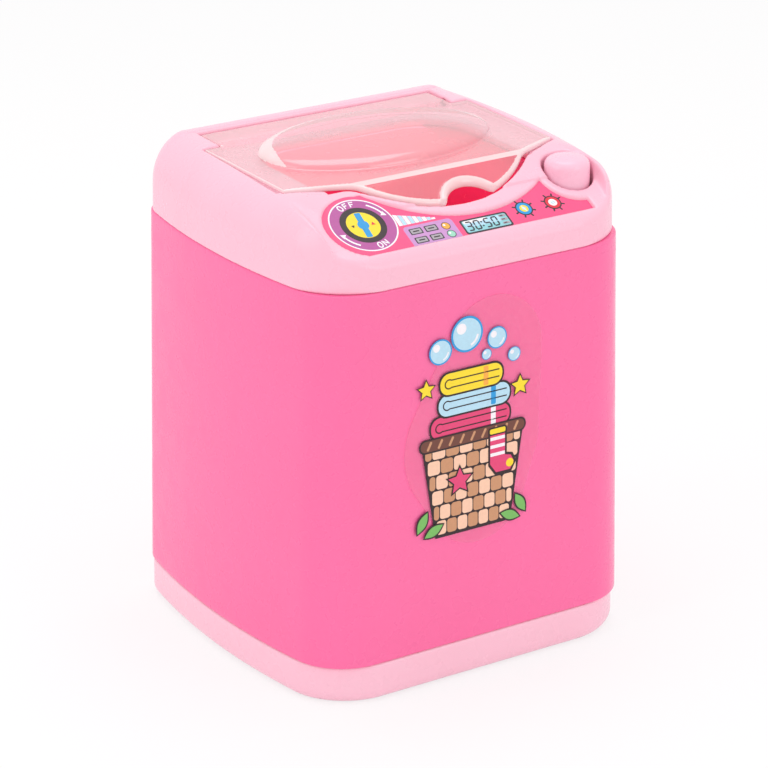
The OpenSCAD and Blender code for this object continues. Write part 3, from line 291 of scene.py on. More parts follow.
def metal(name, colour, low, high, streak_mm):
    return surface(
        name, colour, (streak_mm, 0.05), (low, high, streak_mm), (streak_mm / 3, 0.01), Metallic=1.0
    )


def dull_plastic(name, colour, low=0.45, high=0.6):
    return surface(name, colour, (12, 0.04), (low, high, 3), (0.8, 0.02))


INNER = {
    "white_nylon": dull_plastic("nylon", (238, 238, 234)),
    "black_plastic": dull_plastic("switch_plastic", (46, 46, 50)),
    "cap_plastic": dull_plastic("cap_plastic", (242, 239, 230)),
    "steel": metal("screw_steel", (190, 193, 198), 0.25, 0.4, 1.5),
    "can_steel": metal("zinc_plate", (202, 204, 208), 0.3, 0.5, 4),
    "bronze": metal("sintered_bronze", (200, 162, 74), 0.45, 0.6, 0.5),
    "brass_tab": metal("brass_tabs", (217, 180, 90), 0.25, 0.4, 2),
    "copper": metal("wound_copper", (165, 100, 46), 0.3, 0.45, 0.8),
    "magnet": dull_plastic("ferrite", (68, 70, 74), 0.5, 0.7),
    "seal_rubber": dull_plastic("seal_rubber", (51, 51, 51), 0.65, 0.85),
    "clip_steel": metal("clip_steel", (95, 95, 98), 0.35, 0.5, 1),
    "spring_steel": metal("spring_wire", (190, 193, 198), 0.2, 0.35, 1),
    "cell_green": dull_plastic("cell_sleeve", (61, 155, 87), 0.25, 0.4),
    "wire_red": dull_plastic("red_insulation", (216, 38, 43), 0.4, 0.55),
    "wire_blue": dull_plastic("blue_insulation", (47, 111, 208), 0.4, 0.55),
    "wire_black": dull_plastic("black_insulation", (38, 38, 42), 0.4, 0.55),
}
print("inner finishes:", len(INNER))

# %% Ink and film


def printed_ink(name, colour):
    """Ink under a thin clear film: smooth, a little glossy, with a faint print grain."""
    return surface(name, colour, (0.7, 0.03), (0.3, 0.4, 2))


def clear_film(name, colour, cover):
    """Clear film with a faint tint, glossy on its face."""
    return surface(name, colour, (14, 0.02), (0.18, 0.26, 6), (12, 0.03, 0.3), Alpha=cover)


FILMS = {
    "label_film": printed_ink("label_ground", (255, 82, 136)),
    "sticker_film": clear_film("sticker_film", (255, 160, 198), 0.16),
}
INKS = {
    name: printed_ink(name + "_ink", colour)
    for name, colour in {
        "white": (250, 246, 250), "mauve": (184, 84, 158), "dark": (38, 14, 22),
        "yellow": (255, 224, 40), "blue": (32, 156, 222), "red": (226, 40, 62),
        "lilac": (206, 150, 208), "grey": (176, 168, 176), "aqua": (150, 214, 222),
        "pale_blue": (186, 226, 244), "orange": (252, 178, 70), "mint": (160, 222, 196),
        "ink": (44, 36, 48), "brown": (112, 62, 48), "tan": (206, 150, 110),
        "peach": (252, 206, 176), "green": (120, 190, 96), "rose": (232, 66, 120),
    }.items()
}
print("inks:", len(INKS))

# %% Dress the construction model
finishes = {**PLASTICS, **INNER, **FILMS}
slot_of = {part["node"]: part["material_slot"] for part in frame["record"]["subparts"]}
for node_name, node_object in frame["nodes"].items():
    for material_slot in node_object.material_slots:
        material_slot.material = finishes[slot_of[node_name]]
print("dressed", len(frame["nodes"]), "nodes")

# %% [markdown]
# Shapes as fields
#
# A moulded shell is full of soft edges where walls, pockets and slopes run into each other.
# Modelling each fillet by hand is slow. Here a shape is a function that is negative inside
# the plastic and positive outside, so that a fillet is only a softer way to join two
# functions. A net of faces is then laid over the places where the function is zero.

# %% Helpers for fields
# All fields work in millimetres and take x, y and z as arrays.


def round_join(a, b, radius):
    """Space inside both fields, with a true fillet along the edge where they meet."""
    a, b = np.broadcast_arrays(a, b)
    corner = np.hypot(np.maximum(a + radius, 0), np.maximum(b + radius, 0))
    return np.minimum(np.maximum(a, b), -radius) + corner


def soft_max(a, b, width):
    return np.maximum(a, b) + np.maximum(width - np.abs(a - b), 0) ** 2 / (4 * width)


def soft_min(a, b, width):
    return -soft_max(-a, -b, width)


def soft_step(low, high, value):
    share = np.clip((value - low) / (high - low), 0, 1)
    return share * share * (3 - 2 * share)


def circle_field(x, y, centre, radius):
    return np.hypot(x - centre[0], y - centre[1]) - radius


def box_field(x, y, z, low, high):
    """Distance-like field of a block between two corners."""
    across = np.maximum(low[0] - x, x - high[0])
    along = np.maximum(low[1] - y, y - high[1])
    upright = np.maximum(low[2] - z, z - high[2])
    return np.maximum(np.maximum(across, along), upright)


def polygon_field(x, y, corners):
    """Signed distance to a polygon in plan, negative inside."""
    x, y = np.broadcast_arrays(x, y)
    inside = np.zeros(x.shape, bool)
    nearest = np.full(x.shape, 1e6)
    for (ax, ay), (bx, by) in zip(corners, corners[1:] + corners[:1]):
        run, rise = bx - ax, by - ay
        share = np.clip(((x - ax) * run + (y - ay) * rise) / (run * run + rise * rise), 0, 1)
        nearest = np.minimum(nearest, np.hypot(x - ax - share * run, y - ay - share * rise))
        if rise != 0:
            crossed = ((ay > y) != (by > y)) & (x < ax + (y - ay) / rise * run)
            inside ^= crossed
    return np.where(inside, -nearest, nearest)


print("a 1 mm fillet stands", round(float(round_join(0, 0, 1)), 3), "mm off the sharp corner")

# %% Lay a net of faces over a field
AXES = np.eye(3, dtype=int)


def neighbours(grid, axis):
    """The grid without its last layer, and without its first one, along an axis."""
    count = grid.shape[axis]
    return np.take(grid, range(count - 1), axis), np.take(grid, range(1, count), axis)


def cell_corners(inside):
    """For each cell of the grid, how many of its eight corners lie inside."""
    total = inside.astype(np.int8)
    for axis in range(3):
        near, far = neighbours(total, axis)
        total = near + far
    return total


def net_points(values, cells):
    """One point in each mixed cell, at the mean of the crossings on the cell's edges."""
    sums = np.zeros((len(cells), 3))
    hits = np.zeros(len(cells))
    for axis in range(3):
        u, v = AXES[axis - 2], AXES[axis - 1]
        for corner in (0 * u, u, v, u + v):
            start = cells + corner
            first = values[tuple(start.T)]
            second = values[tuple((start + AXES[axis]).T)]
            crossed = (first < 0) != (second < 0)
            share = np.where(crossed, first / np.where(crossed, first - second, 1), 0)
            sums += crossed[:, None] * (start + share[:, None] * AXES[axis])
            hits += crossed
    return sums / hits[:, None]


def net_faces(inside, number):
    """Four-sided faces across each grid edge that passes through the surface."""
    faces = []
    for axis in range(3):
        u, v = AXES[axis - 2], AXES[axis - 1]
        near, far = neighbours(inside, axis)
        edges = np.argwhere(near != far)
        leaving = near[tuple(edges.T)]
        ring = [number[tuple((edges - offset).T)] for offset in (u + v, v, 0 * u, u)]
        quads = np.stack(ring, axis=1)
        quads[~leaving] = quads[~leaving][:, ::-1]
        faces.append(quads)
    return np.concatenate(faces)


def slope(field, points, reach=0.02):
    """How fast the field grows along x, y and z at each point."""
    parts = []
    for step in reach * np.eye(3):
        ahead, behind = field(*(points + step).T), field(*(points - step).T)
        parts.append((ahead - behind) / (2 * reach))
    return np.stack(parts, axis=1)


def settle(field, points, cell, rounds=5):
    """Slides each point along the field's slope until it rests on the surface."""
    for _ in range(rounds):
        value = field(*points.T)
        direction = slope(field, points)
        steepness = np.maximum((direction ** 2).sum(axis=1), 0.04)
        move = -(value / steepness)[:, None] * direction
        length = np.maximum(np.linalg.norm(move, axis=1), 1e-9)
        points = points + move * np.minimum(1, 0.4 * cell / length)[:, None]
    return points


def net_over(field, low, high, cell):
    """Points and faces of the surface where a field is zero, inside a block of space."""
    low, high = np.array(low, float), np.array(high, float)
    counts = (np.ceil((high - low) / cell) + 1).astype(int)
    axes = [low[i] + cell * np.arange(counts[i]) for i in range(3)]
    grid = np.meshgrid(*axes, indexing="ij", sparse=True)
    values = np.broadcast_to(field(*grid), tuple(counts)).astype(np.float64)
    inside = values < 0
    total = cell_corners(inside)
    mixed = (total > 0) & (total < 8)
    number = np.full(mixed.shape, -1)
    number[mixed] = np.arange(mixed.sum())
    points = low + cell * net_points(values, np.argwhere(mixed))
    return settle(field, points, cell), net_faces(inside, number)


ball = net_over(lambda x, y, z: np.sqrt(x * x + y * y + z * z) - 3, (-4,) * 3, (4,) * 3, 1)
print("a net of 1 mm cells over a 6 mm ball has", len(ball[1]), "faces")

# %% Turn points and faces into a piece


def place_piece(name, mesh, body):
    """Puts a mesh into the scene as a piece that rides on a body."""
    piece = bpy.data.objects.new(name, mesh)
    bpy.context.scene.collection.objects.link(piece)
    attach(piece, body)
    return piece


def make_piece(name, shape, body, slot, smooth=True):
    """A piece in the plastic of its slot, from points in millimetres and faces."""
    points, faces = shape
    mesh = bpy.data.meshes.new(name)
    points = (np.asarray(points, float) * MM).tolist()
    mesh.from_pydata(points, [], [list(map(int, face)) for face in faces])
    mesh.update()
    mesh.materials.append(PLASTICS[slot])
    if smooth:
        mesh.shade_smooth()
    print(name, "has", len(faces), "faces")
    return place_piece(name, mesh, body)


print("pieces are drawn in millimetres and placed at", MM, "of their numbers, in metres")

# %% [markdown]
# The plan of the body
#
# Seen from above the toy is a rounded rectangle whose sides bulge a little, and it is slightly
# narrower at the top than at the table, so that it could leave its mould. Every shell follows
# this one plan, so it is written once.

# %% Plan shared by the shells
BODY_W = 93.0
BODY_D = 83.4
DECK_H = 115.2
DRAFT = 0.0004
SIDE_BULGE = 188.0
WIDEST_Y = 4.0
CORNER_FRONT = 13.5
CORNER_REAR = 8.3
FRONT_Y = -BODY_D / 2
BASE_H = 9.3
SEAM_Z = DECK_H - 17.85
SHOULDER_Z = SEAM_Z + 7.15


def plan_walls(x, y, z):
    """How far a point lies outside the side wall, the front and the rear."""
    shrink = 1 - DRAFT * z
    across, along = np.abs(x) / shrink, y / shrink
    side = np.hypot(across - (BODY_W / 2 - SIDE_BULGE), along - WIDEST_Y) - SIDE_BULGE
    return side, FRONT_Y - along, along - BODY_D / 2


def plan_field(x, y, z):
    side, front, rear = plan_walls(x, y, z)
    return round_join(round_join(side, front, CORNER_FRONT), rear, CORNER_REAR)


def arc_points(centre, radius, start, end, steps):
    """Points u + v j along an arc between two angles in degrees, both ends included."""
    angles = np.radians(np.linspace(start, end, steps + 1))
    return [centre + cmath.rect(radius, angle) for angle in angles]


print("plan at the table:", BODY_W, "by", BODY_D, "mm")

# %% [markdown]
# The top cover
#
# The cover is one moulding: a level deck with a broad rounded edge, a sloping control panel
# between two cheeks, a sunken seat for the lid and the mouth of the tub. Its edge is a quarter
# of an ellipse that is wide along the sides and narrow at the front. The panel is a plane, and
# the cheeks are drawn into the same rounded form, so that light runs over them unbroken.

# %% Outer form of the cover
EDGE_FRONT = 3.0
EDGE_SIDE_FRONT = 7.6
EDGE_SIDE_REAR = 10.5
EDGE_REAR = 7.0
DECK_TILT = 0.02
PANEL_ANGLE = math.radians(27.5)
PANEL_COS, PANEL_TAN = math.cos(PANEL_ANGLE), math.tan(PANEL_ANGLE)
CREASE_Y = FRONT_Y + 23.8
CHEEK_Y = FRONT_Y + 22.7
CHEEK_SPAN = 19.0
CHEEK_POWER = 2.2
CHEEK_IN = 32.3
CHEEK_LIFT = 0.045
CHEEK_RAISE, CHEEK_FADE = 11, 6.5
PANEL_FRONT, PANEL_CORNER = 38.6, 9


def deck_height(y):
    return DECK_H - DECK_TILT * (36 - y)


def edge_share(end, side, radius):
    """0 beside the side wall, 1 beside the end wall, and even between them round the corner."""
    reach_end, reach_side = np.maximum(end + radius, 0), np.maximum(side + radius, 0)
    return np.arctan2(reach_end, reach_side + 1e-6) / (math.pi / 2)


def edge_width(x, y, z):
    side, front, rear = plan_walls(x, y, z)
    along_side = np.clip((y + 28) / 62, 0, 1)
    width = EDGE_SIDE_FRONT + (EDGE_SIDE_REAR - EDGE_SIDE_FRONT) * along_side
    turn_front = np.sin(edge_share(front, side, CORNER_FRONT) * math.pi / 2) ** 2
    turn_rear = edge_share(rear, side, CORNER_REAR)
    width = width + (EDGE_FRONT - width) * turn_front
    return width + (EDGE_REAR - width) * turn_rear


def rim_field(x, y, z):
    """Walls and rounded edge, up to the level of the deck."""
    width = edge_width(x, y, z)
    across = np.maximum(width + plan_field(x, y, z), 0) / width
    up = np.maximum(z - SHOULDER_Z, 0) / (deck_height(y) - SHOULDER_Z)
    return (np.hypot(across, up) - 1) * width


def panel_field(x, y, z):
    return (z - DECK_H - PANEL_TAN * (y - CREASE_Y)) * PANEL_COS


def panel_side(x, y):
    """Negative over the panel, whose left corner is rounded about the dial."""
    return round_join(np.abs(x) - CHEEK_IN, -y - PANEL_FRONT, PANEL_CORNER)


def cheek_field(x, y, z):
    """Rounded fall of the cheeks towards the front."""
    lift = CHEEK_LIFT * np.maximum(y - CHEEK_Y + 5, 0) ** 2
    rise = deck_height(CHEEK_Y) - SHOULDER_Z
    along = np.maximum(CHEEK_Y - y, 0) / CHEEK_SPAN
    up = np.maximum(z - SHOULDER_Z - lift, 0) / rise
    fall = ((along ** CHEEK_POWER + up ** CHEEK_POWER) ** (1 / CHEEK_POWER) - 1) * rise
    return fall + CHEEK_RAISE * (1 - soft_step(0, CHEEK_FADE, panel_side(x, y)))


def cover_form(x, y, z):
    """The cover's outer form before anything is cut into it."""
    top = soft_min(panel_field(x, y, z), cheek_field(x, y, z), 1.6)
    over_panel = 1 - soft_step(-2, 4, panel_side(x, y))
    return round_join(rim_field(x, y, z), top, 1.1 + 1.5 * over_panel)


deck_fall = [round(float(deck_height(y)), 1) for y in (BODY_D / 2, CREASE_Y)]
print("the deck falls from", deck_fall[0], "to", deck_fall[1], "mm")

# %% Plans of the lid, the mouth and the label
LID_Z = DECK_H - 0.6
LID_T = 1.3
LID_HALF = 35.6
TAIL_HALF = 31.2
LID_REAR = 30.4
LID_STEP = 20.3
LID_WING = -14.0
LID_FOLD = -18.6
FLAP_CENTRE = (2.0, 3.7)
FLAP_R = 31.7
OPEN_R = 32.4
LABEL_ARC_R = 36.1
LABEL_END_R = 9.2
LABEL_POCKET = 1.0
NOTCH_R = 7.2
NOTCH_CENTRE = (4.6, FLAP_CENTRE[1] - FLAP_R + 4.3 - NOTCH_R)
HINGE_Y = 24.5
HINGE_Z = LID_Z - LID_T
PIN_R, PIN_BORE_R = 0.9, 0.95
BUTTON = (BODY_W / 2 - 14.9, FRONT_Y + 15.7)
GUIDE_R = 5.9
DIAL = (-24.7, FRONT_Y + 12.3)


def lid_plan(x, y, grow, flap_grow):
    """Outline of the lid from above, without its finger notch."""
    half, tail = LID_HALF + grow, TAIL_HALF + grow
    chord = math.sqrt(FLAP_R ** 2 - (FLAP_CENTRE[1] - LID_FOLD) ** 2) + flap_grow
    front, wing, step = LID_FOLD - grow, LID_WING - grow, LID_STEP + grow
    deck_part = polygon_field(x, y, [
        (-half, wing), (FLAP_CENTRE[0] - chord, front), (FLAP_CENTRE[0] + chord, front),
        (half, wing), (half, step), (tail, step), (tail, LID_REAR + grow),
        (-tail, LID_REAR + grow), (-tail, step), (-half, step),
    ])
    flap_part = np.maximum(circle_field(x, y, FLAP_CENTRE, FLAP_R + flap_grow), y - LID_FOLD - 3)
    return soft_min(deck_part, flap_part, 0.8)


def mouth_plan(x, y):
    """Opening from the cover into the tub."""
    rear, half, corner = 19.0, 27.0, 12.0
    straight = round_join(np.abs(x) - half, y - rear, corner)
    straight = np.maximum(straight, LID_FOLD - y)
    curved = np.maximum(circle_field(x, y, FLAP_CENTRE, OPEN_R), y - LID_FOLD - 0.5)
    return np.minimum(straight, curved)


def label_plan(x, y, border):
    """Recess of the printed label: a band cut by two arcs, with a round end about the dial."""
    right, front = BUTTON[0] - 0.2, FRONT_Y + 4.7
    top = DIAL[1] + LABEL_END_R * PANEL_COS
    band = np.maximum(np.maximum(DIAL[0] - x, x - right), np.maximum(front - y, y - top))
    arc = circle_field(x, y, (5.0, FLAP_CENTRE[1] + 0.5), LABEL_ARC_R)
    button = circle_field(x, y, BUTTON, GUIDE_R + 2.3)
    band = np.maximum(band - border, np.maximum(-arc - border, -button - border))
    slanted = np.hypot(x - DIAL[0], (y - DIAL[1]) / PANEL_COS) - LABEL_END_R - border
    return np.minimum(band, np.maximum(slanted, front - border - y))


def lid_planes(y, z):
    """Height over the lid's level sheet and over its sloping flap."""
    return z - LID_Z, (z - LID_Z - PANEL_TAN * (y - LID_FOLD)) * PANEL_COS


def lid_line(y, z, depth):
    return np.maximum(*lid_planes(y, z)) + depth


flap_end = round(FLAP_CENTRE[1] - FLAP_R, 1)
print("the lid is", 2 * LID_HALF, "mm wide and its flap ends at y", flap_end)

# %% The cover with its recesses
COVER_WALL = 1.6
GUIDE_Z = SHOULDER_Z - 2.2
TROUGH_Y = HINGE_Y - 1.7
TROUGH_Z = HINGE_Z - (LID_REAR - HINGE_Y) - 0.9
FLANGE_DEPTH = 3.3
COVER_POSTS = [(BUTTON[0] + 6.6, BUTTON[1] + 5.9), (BUTTON[0] - 7, BUTTON[1] - 7)]
TUB_POSTS = [(side * 36.8, -15.4) for side in (-1, 1)] + [(side * 36.3, 26.5) for side in (-1, 1)]
SWITCH_Z = 84.0
SWITCH_POST_R, TUB_POST_R = 2.2, 2.4
TROUGH_WALL, TROUGH_SIDE, GUIDE_WALL = 1.4, 1.8, 1.3
LID_GAP = 0.4
PIN_LENGTH, PIN_SPACE = 2.0, 2.4
SEAM_ROUND, SEAT_ROUND, HOLE_ROUND, POCKET_ROUND = 0.35, 0.7, 0.6, 0.5
# Depth inside the wall and half thickness of the lips and of the webs that carry them.
RING_LIP, RING_WEB = (0.75, 0.6), (0.2, 1.0)


def cover_blocks(x, y, z):
    """Solid parts inside the cover: the lid's seat, the trough, the guide and the posts."""
    seat = np.maximum(lid_plan(x, y, 1.6, 2.8), -lid_line(y, z, FLANGE_DEPTH))
    trough = box_field(
        x, y, z, (-TAIL_HALF - TROUGH_SIDE, TROUGH_Y - TROUGH_WALL, TROUGH_Z - TROUGH_WALL),
        (TAIL_HALF + TROUGH_SIDE, LID_REAR + TROUGH_SIDE, DECK_H + 5),
    )
    guide = np.maximum(circle_field(x, y, BUTTON, GUIDE_R + GUIDE_WALL), GUIDE_Z - z)
    blocks = np.minimum(np.minimum(seat, trough), guide)
    for post in COVER_POSTS:
        blocks = np.minimum(blocks, circle_field(x, y, post, SWITCH_POST_R))
    for post in TUB_POSTS:
        rod = np.maximum(circle_field(x, y, post, TUB_POST_R), -lid_line(y, z, FLANGE_DEPTH))
        blocks = np.minimum(blocks, rod)
    return blocks


def ring_inside(inset, ring, rise, reach):
    """A ring inside the wall; rise is the height over its middle, reach half its height."""
    depth, half = ring
    return np.maximum(np.abs(inset + depth) - half, np.abs(rise) - reach)


def cover_lip(x, y, z):
    """Lip that enters the body shell, with the web that carries it."""
    inset = plan_field(x, y, z) + COVER_WALL
    lip = ring_inside(inset, RING_LIP, z - SEAM_Z + 0.7, 2.3)
    web = ring_inside(inset, RING_WEB, z - SEAM_Z - 0.95, 0.65)
    return np.minimum(lip, web)


def side_gap(x, y):
    """The seat opens a little towards the front at the lid's left edge."""
    return polygon_field(x, y, [
        (-LID_HALF - LID_GAP, LID_STEP - 1), (-LID_HALF - 1.3, LID_WING + 0.6),
        (-LID_HALF + 1, LID_WING + 0.6), (-LID_HALF + 1, LID_STEP - 1),
    ])


def cover_field(x, y, z):
    form = cover_form(x, y, z)
    shell = round_join(form, SEAM_Z - z, SEAM_ROUND)
    hollow = np.maximum(form + COVER_WALL, -cover_blocks(x, y, z))
    solid = soft_max(shell, -hollow, 0.4)
    solid = np.minimum(solid, cover_lip(x, y, z))
    seat_plan = np.minimum(lid_plan(x, y, LID_GAP, OPEN_R - FLAP_R), side_gap(x, y))
    seat = np.maximum(seat_plan, -lid_line(y, z, LID_T + 0.2))
    solid = soft_max(solid, -seat, SEAT_ROUND)
    trough_half, trough_rear = TAIL_HALF + LID_GAP, LID_REAR + LID_GAP
    trough = box_field(
        x, y, z, (-trough_half, TROUGH_Y, TROUGH_Z), (trough_half, trough_rear, DECK_H + 5)
    )
    for hole in (trough, mouth_plan(x, y), circle_field(x, y, BUTTON, GUIDE_R)):
        solid = soft_max(solid, -hole, HOLE_ROUND)
    bore = np.hypot(y - HINGE_Y, z - HINGE_Z) - PIN_BORE_R
    solid = np.maximum(solid, -np.maximum(bore, np.abs(x) - TAIL_HALF - PIN_SPACE))
    pocket = np.maximum(label_plan(x, y, 0.15), -panel_field(x, y, z) - LABEL_POCKET)
    return soft_max(solid, -pocket, POCKET_ROUND)


cover_low, cover_high = (-46.6, -42, SEAM_Z - 4), (46.6, 42, DECK_H + 0.8)
cover_shape = net_over(cover_field, cover_low, cover_high, 0.38)
cover = make_piece("top_cover_skin", cover_shape, "housing", "cover_pink")
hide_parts("top_cover")

# %% [markdown]
# Turned pieces
#
# The button, the posts and the dots of the print are round about an upright axis. A profile
# drawn once and turned about that axis gives them all, as a lathe would.

# %% Helper for turned pieces


def turned_shape(profile, centre, steps=72):
    """Points and faces of a profile of (radius, height) pairs turned about an upright axis."""
    points, faces = [], []
    turns = [2 * math.pi * k / steps for k in range(steps)]
    for radius, height in profile:
        for turn in turns:
            x, y = centre[0] + radius * math.cos(turn), centre[1] + radius * math.sin(turn)
            points.append((x, y, height))
    for row in range(len(profile) - 1):
        for k in range(steps):
            a, b = row * steps + k, row * steps + (k + 1) % steps
            faces.append((a, b, b + steps, a + steps))
    faces.append(tuple(range(steps))[::-1])
    last = (len(profile) - 1) * steps
    faces.append(tuple(range(last, last + steps)))
    return points, faces


shaft = [(SWITCH_POST_R, SWITCH_Z), (SWITCH_POST_R, SEAM_Z + 0.5)]
for index, post in enumerate(COVER_POSTS):
    make_piece(f"switch_post_{index}", turned_shape(shaft, post, 32), "housing", "cover_pink")
print("cover runs from", round(SEAM_Z, 2), "to", DECK_H, "mm")

# %% [markdown]
# The body shell
#
# The body is a plain drafted wall on the shared plan. Its beauty is in how quietly it curves,
# so it is built from closed rings of the plan, close together round the corners, with a small
# round on its two edges where it meets the cover and the base.

# %% Rings of the plan


BULGE_X = BODY_W / 2 - SIDE_BULGE


def corner_of_plan(y, radius):
    """Where a corner's centre lies, and the angle at which the side wall leaves it."""
    x = BULGE_X + math.sqrt((SIDE_BULGE - radius) ** 2 - (y - WIDEST_Y) ** 2)
    return complex(x, y), math.degrees(math.atan2(y - WIDEST_Y, x - BULGE_X))


def plan_ring(z, inset, steps=14):
    """Points round the plan at a height, drawn in by an inset."""
    front, front_turn = corner_of_plan(FRONT_Y + CORNER_FRONT, CORNER_FRONT)
    rear, rear_turn = corner_of_plan(BODY_D / 2 - CORNER_REAR, CORNER_REAR)
    bulge = complex(BULGE_X, WIDEST_Y)
    half = [complex(front.real * k / steps, FRONT_Y + inset) for k in range(steps)]
    half += arc_points(front, CORNER_FRONT - inset, -90, front_turn, 2 * steps)
    half += arc_points(bulge, SIDE_BULGE - inset, front_turn, rear_turn, 3 * steps)[1:]
    half += arc_points(rear, CORNER_REAR - inset, rear_turn, 90, 2 * steps)[1:]
    for k in range(1, steps + 1):
        half.append(complex(rear.real * (1 - k / steps), BODY_D / 2 - inset))
    whole = half + [-point.conjugate() for point in half[-2:0:-1]]
    shrink = 1 - DRAFT * z
    return [(point.real * shrink, point.imag * shrink, z) for point in whole]


def ring_stack(rings):
    """Points and faces of a closed band through rings, the last joined to the first."""
    count = len(rings[0])
    points = [point for ring in rings for point in ring]
    faces = []
    for row in range(len(rings)):
        below, above = row * count, (row + 1) % len(rings) * count
        for k in range(count):
            after = (k + 1) % count
            faces.append((below + k, below + after, above + after, above + k))
    return points, faces


def wall_profile(low, high, wall, edge):
    """Height and inset round the section of a wall with rounded outer edges."""
    turn = [math.radians(a) for a in (0, 22, 45, 68, 90)]
    lower = [(low + edge * (1 - math.sin(a)), edge * (1 - math.cos(a))) for a in turn[::-1]]
    upper = [(high - edge * (1 - math.sin(a)), edge * (1 - math.cos(a))) for a in turn]
    middle = [(low + (high - low) * share, 0) for share in np.linspace(0.02, 0.98, 14)]
    return lower + middle + upper + [(high, wall), (low, wall)]


print("one ring of the plan has", len(plan_ring(0, 0)), "points")

# %% The wall and its screw posts
SHELL_WALL = 1.6
# The wall keeps this far inside the sticker's back, so that no two faces share one plane.
CLEAR = 0.03
wall = wall_profile(BASE_H + 0.06, SEAM_Z - 0.06, SHELL_WALL, 0.4)
body_shape = ring_stack([plan_ring(z, inset + CLEAR) for z, inset in wall])
body = make_piece("body_shell_skin", body_shape, "housing", "shell_pink")
body.data.set_sharp_from_angle(angle=math.radians(60))
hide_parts("body_shell")

CASE_POST_R, CASE_BORE_R = 3.2, 1.35
CASE_POST_LOW, CASE_POST_TOP = 12.6, 32.0
CASE_POSTS = [(side * 32.0, FRONT_Y + 14.2) for side in (-1, 1)]
CASE_POSTS += [(side * 33.0, BODY_D / 2 - 12.2) for side in (-1, 1)]
shaft = [(CASE_BORE_R, CASE_POST_LOW), (CASE_POST_R, CASE_POST_LOW)]
shaft += [(CASE_POST_R, CASE_POST_TOP), (CASE_BORE_R, CASE_POST_TOP)]
for index, post in enumerate(CASE_POSTS):
    make_piece(f"case_post_{index}", turned_shape(shaft, post, 32), "housing", "shell_pink", False)

# %% [markdown]
# The base
#
# The base is a shallow tray with a well rounded foot. The battery box stands on its floor, and
# the door slides in a groove that opens to the rear. Four wells take the heads of the screws.

# %% The base as a field
BASE_FLOOR = 2.7
BASE_ROUND, BASE_EDGE, CUT_ROUND = 3.0, 0.4, 0.3
WELL_R, WELL_TOP = 3.0, 4.5
FOOT_MIDDLE, FOOT_REACH = 7.4, 4.9
BOX_HALF, BOX_WALL = 28.2, 1.6
BOX_FRONT, BOX_REAR, BOX_TOP = -4.7, 25.8, 17.4
DOOR_HALF, DOOR_FRONT, DOOR_LIP, DOOR_Z, DOOR_GAP = 29.0, -5.5, 1.2, 0.4, 0.2
BEYOND = 50  # a length that ends outside the toy


def base_field(x, y, z):
    outer = round_join(plan_field(x, y, z), -z, BASE_ROUND)
    tray = round_join(outer, z - BASE_H, BASE_EDGE)
    inset = plan_field(x, y, z) + SHELL_WALL
    tray = np.maximum(tray, -np.maximum(inset, BASE_FLOOR - z))
    lip = ring_inside(inset, RING_LIP, z - BASE_H - 0.6, 2.4)
    web = ring_inside(inset, RING_WEB, z - BASE_H + 1.2, 0.8)
    tray = np.minimum(np.minimum(tray, lip), web)
    box = box_field(
        x, y, z, (-BOX_HALF - BOX_WALL, BOX_FRONT - BOX_WALL, BASE_FLOOR - 0.3),
        (BOX_HALF + BOX_WALL, BOX_REAR + BOX_WALL, BOX_TOP + BOX_WALL),
    )
    tray = np.minimum(tray, box)
    for post in CASE_POSTS:
        foot = np.abs(z - FOOT_MIDDLE) - FOOT_REACH
        rod = np.maximum(circle_field(x, y, post, CASE_POST_R), foot)
        tray = np.minimum(tray, rod)
    inside = box_field(x, y, z, (-BOX_HALF, BOX_FRONT, -1), (BOX_HALF, BOX_REAR, BOX_TOP))
    tray = np.maximum(tray, -inside)
    slot_half = DOOR_HALF - DOOR_LIP + DOOR_GAP
    slot = box_field(
        x, y, z, (-slot_half, DOOR_FRONT - DOOR_GAP, -1), (slot_half, BEYOND, BASE_FLOOR + 0.01)
    )
    groove_half = DOOR_HALF + DOOR_GAP
    groove = box_field(
        x, y, z, (-groove_half, DOOR_FRONT - DOOR_GAP, DOOR_Z + 0.6),
        (groove_half, BEYOND, BASE_FLOOR),
    )
    tray = soft_max(tray, -np.minimum(slot, groove), CUT_ROUND)
    for post in CASE_POSTS:
        well = np.maximum(circle_field(x, y, post, WELL_R), z - WELL_TOP)
        bore = circle_field(x, y, post, CASE_BORE_R)
        tray = soft_max(tray, -np.minimum(well, bore), CUT_ROUND)
    return tray


base_low, base_high = (-47, -42.2, -0.6), (47, 42.2, BOX_TOP + 2.2)
base_shape = net_over(base_field, base_low, base_high, 0.55)
base = make_piece("base_skin", base_shape, "housing", "base_pink")
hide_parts("base")

# %% [markdown]
# The lid
#
# The lid is one thin sheet. It lies level over the tub, folds down at the front with a soft
# fold, and ends in a curved flap with a notch for a finger. An oval is pressed up from it to
# stiffen it. Seen on edge the sheet looks almost white, as light is caught in the milky plastic.
# The rim, the fold, the notch's lip and the oval's foot get a paler plastic: a painted highlight.

# %% The lid as a field
DOME_CENTRE_Y = 5.0
DOME_HALF = (29.0, 18.0)
DOME_H = 3.0
EDGE_ROUND, NOTCH_ROUND = 0.45, 1.2


def dome_field(x, y, z, inset, drop):
    half_x, half_y = DOME_HALF[0] - inset, DOME_HALF[1] - inset
    out = np.hypot(x / half_x, (y - DOME_CENTRE_Y) / half_y)
    up = np.maximum(z + drop - LID_Z, 0) / DOME_H
    return ((out ** 5 + up ** 2.2) ** 0.4 - 1) * DOME_H


def lid_top(x, y, z, depth):
    flat, sloped = lid_planes(y, z)
    sheet = soft_max(flat + depth, sloped + depth, 0.9)
    return soft_min(sheet, dome_field(x, y, z, depth, depth), 0.3)


def notch_bead(x, y, z):
    """Raised lip along the finger notch."""
    away = circle_field(x, y, NOTCH_CENTRE, NOTCH_R + 0.75)
    return np.hypot(away, lid_line(y, z, 0.25)) - 0.8


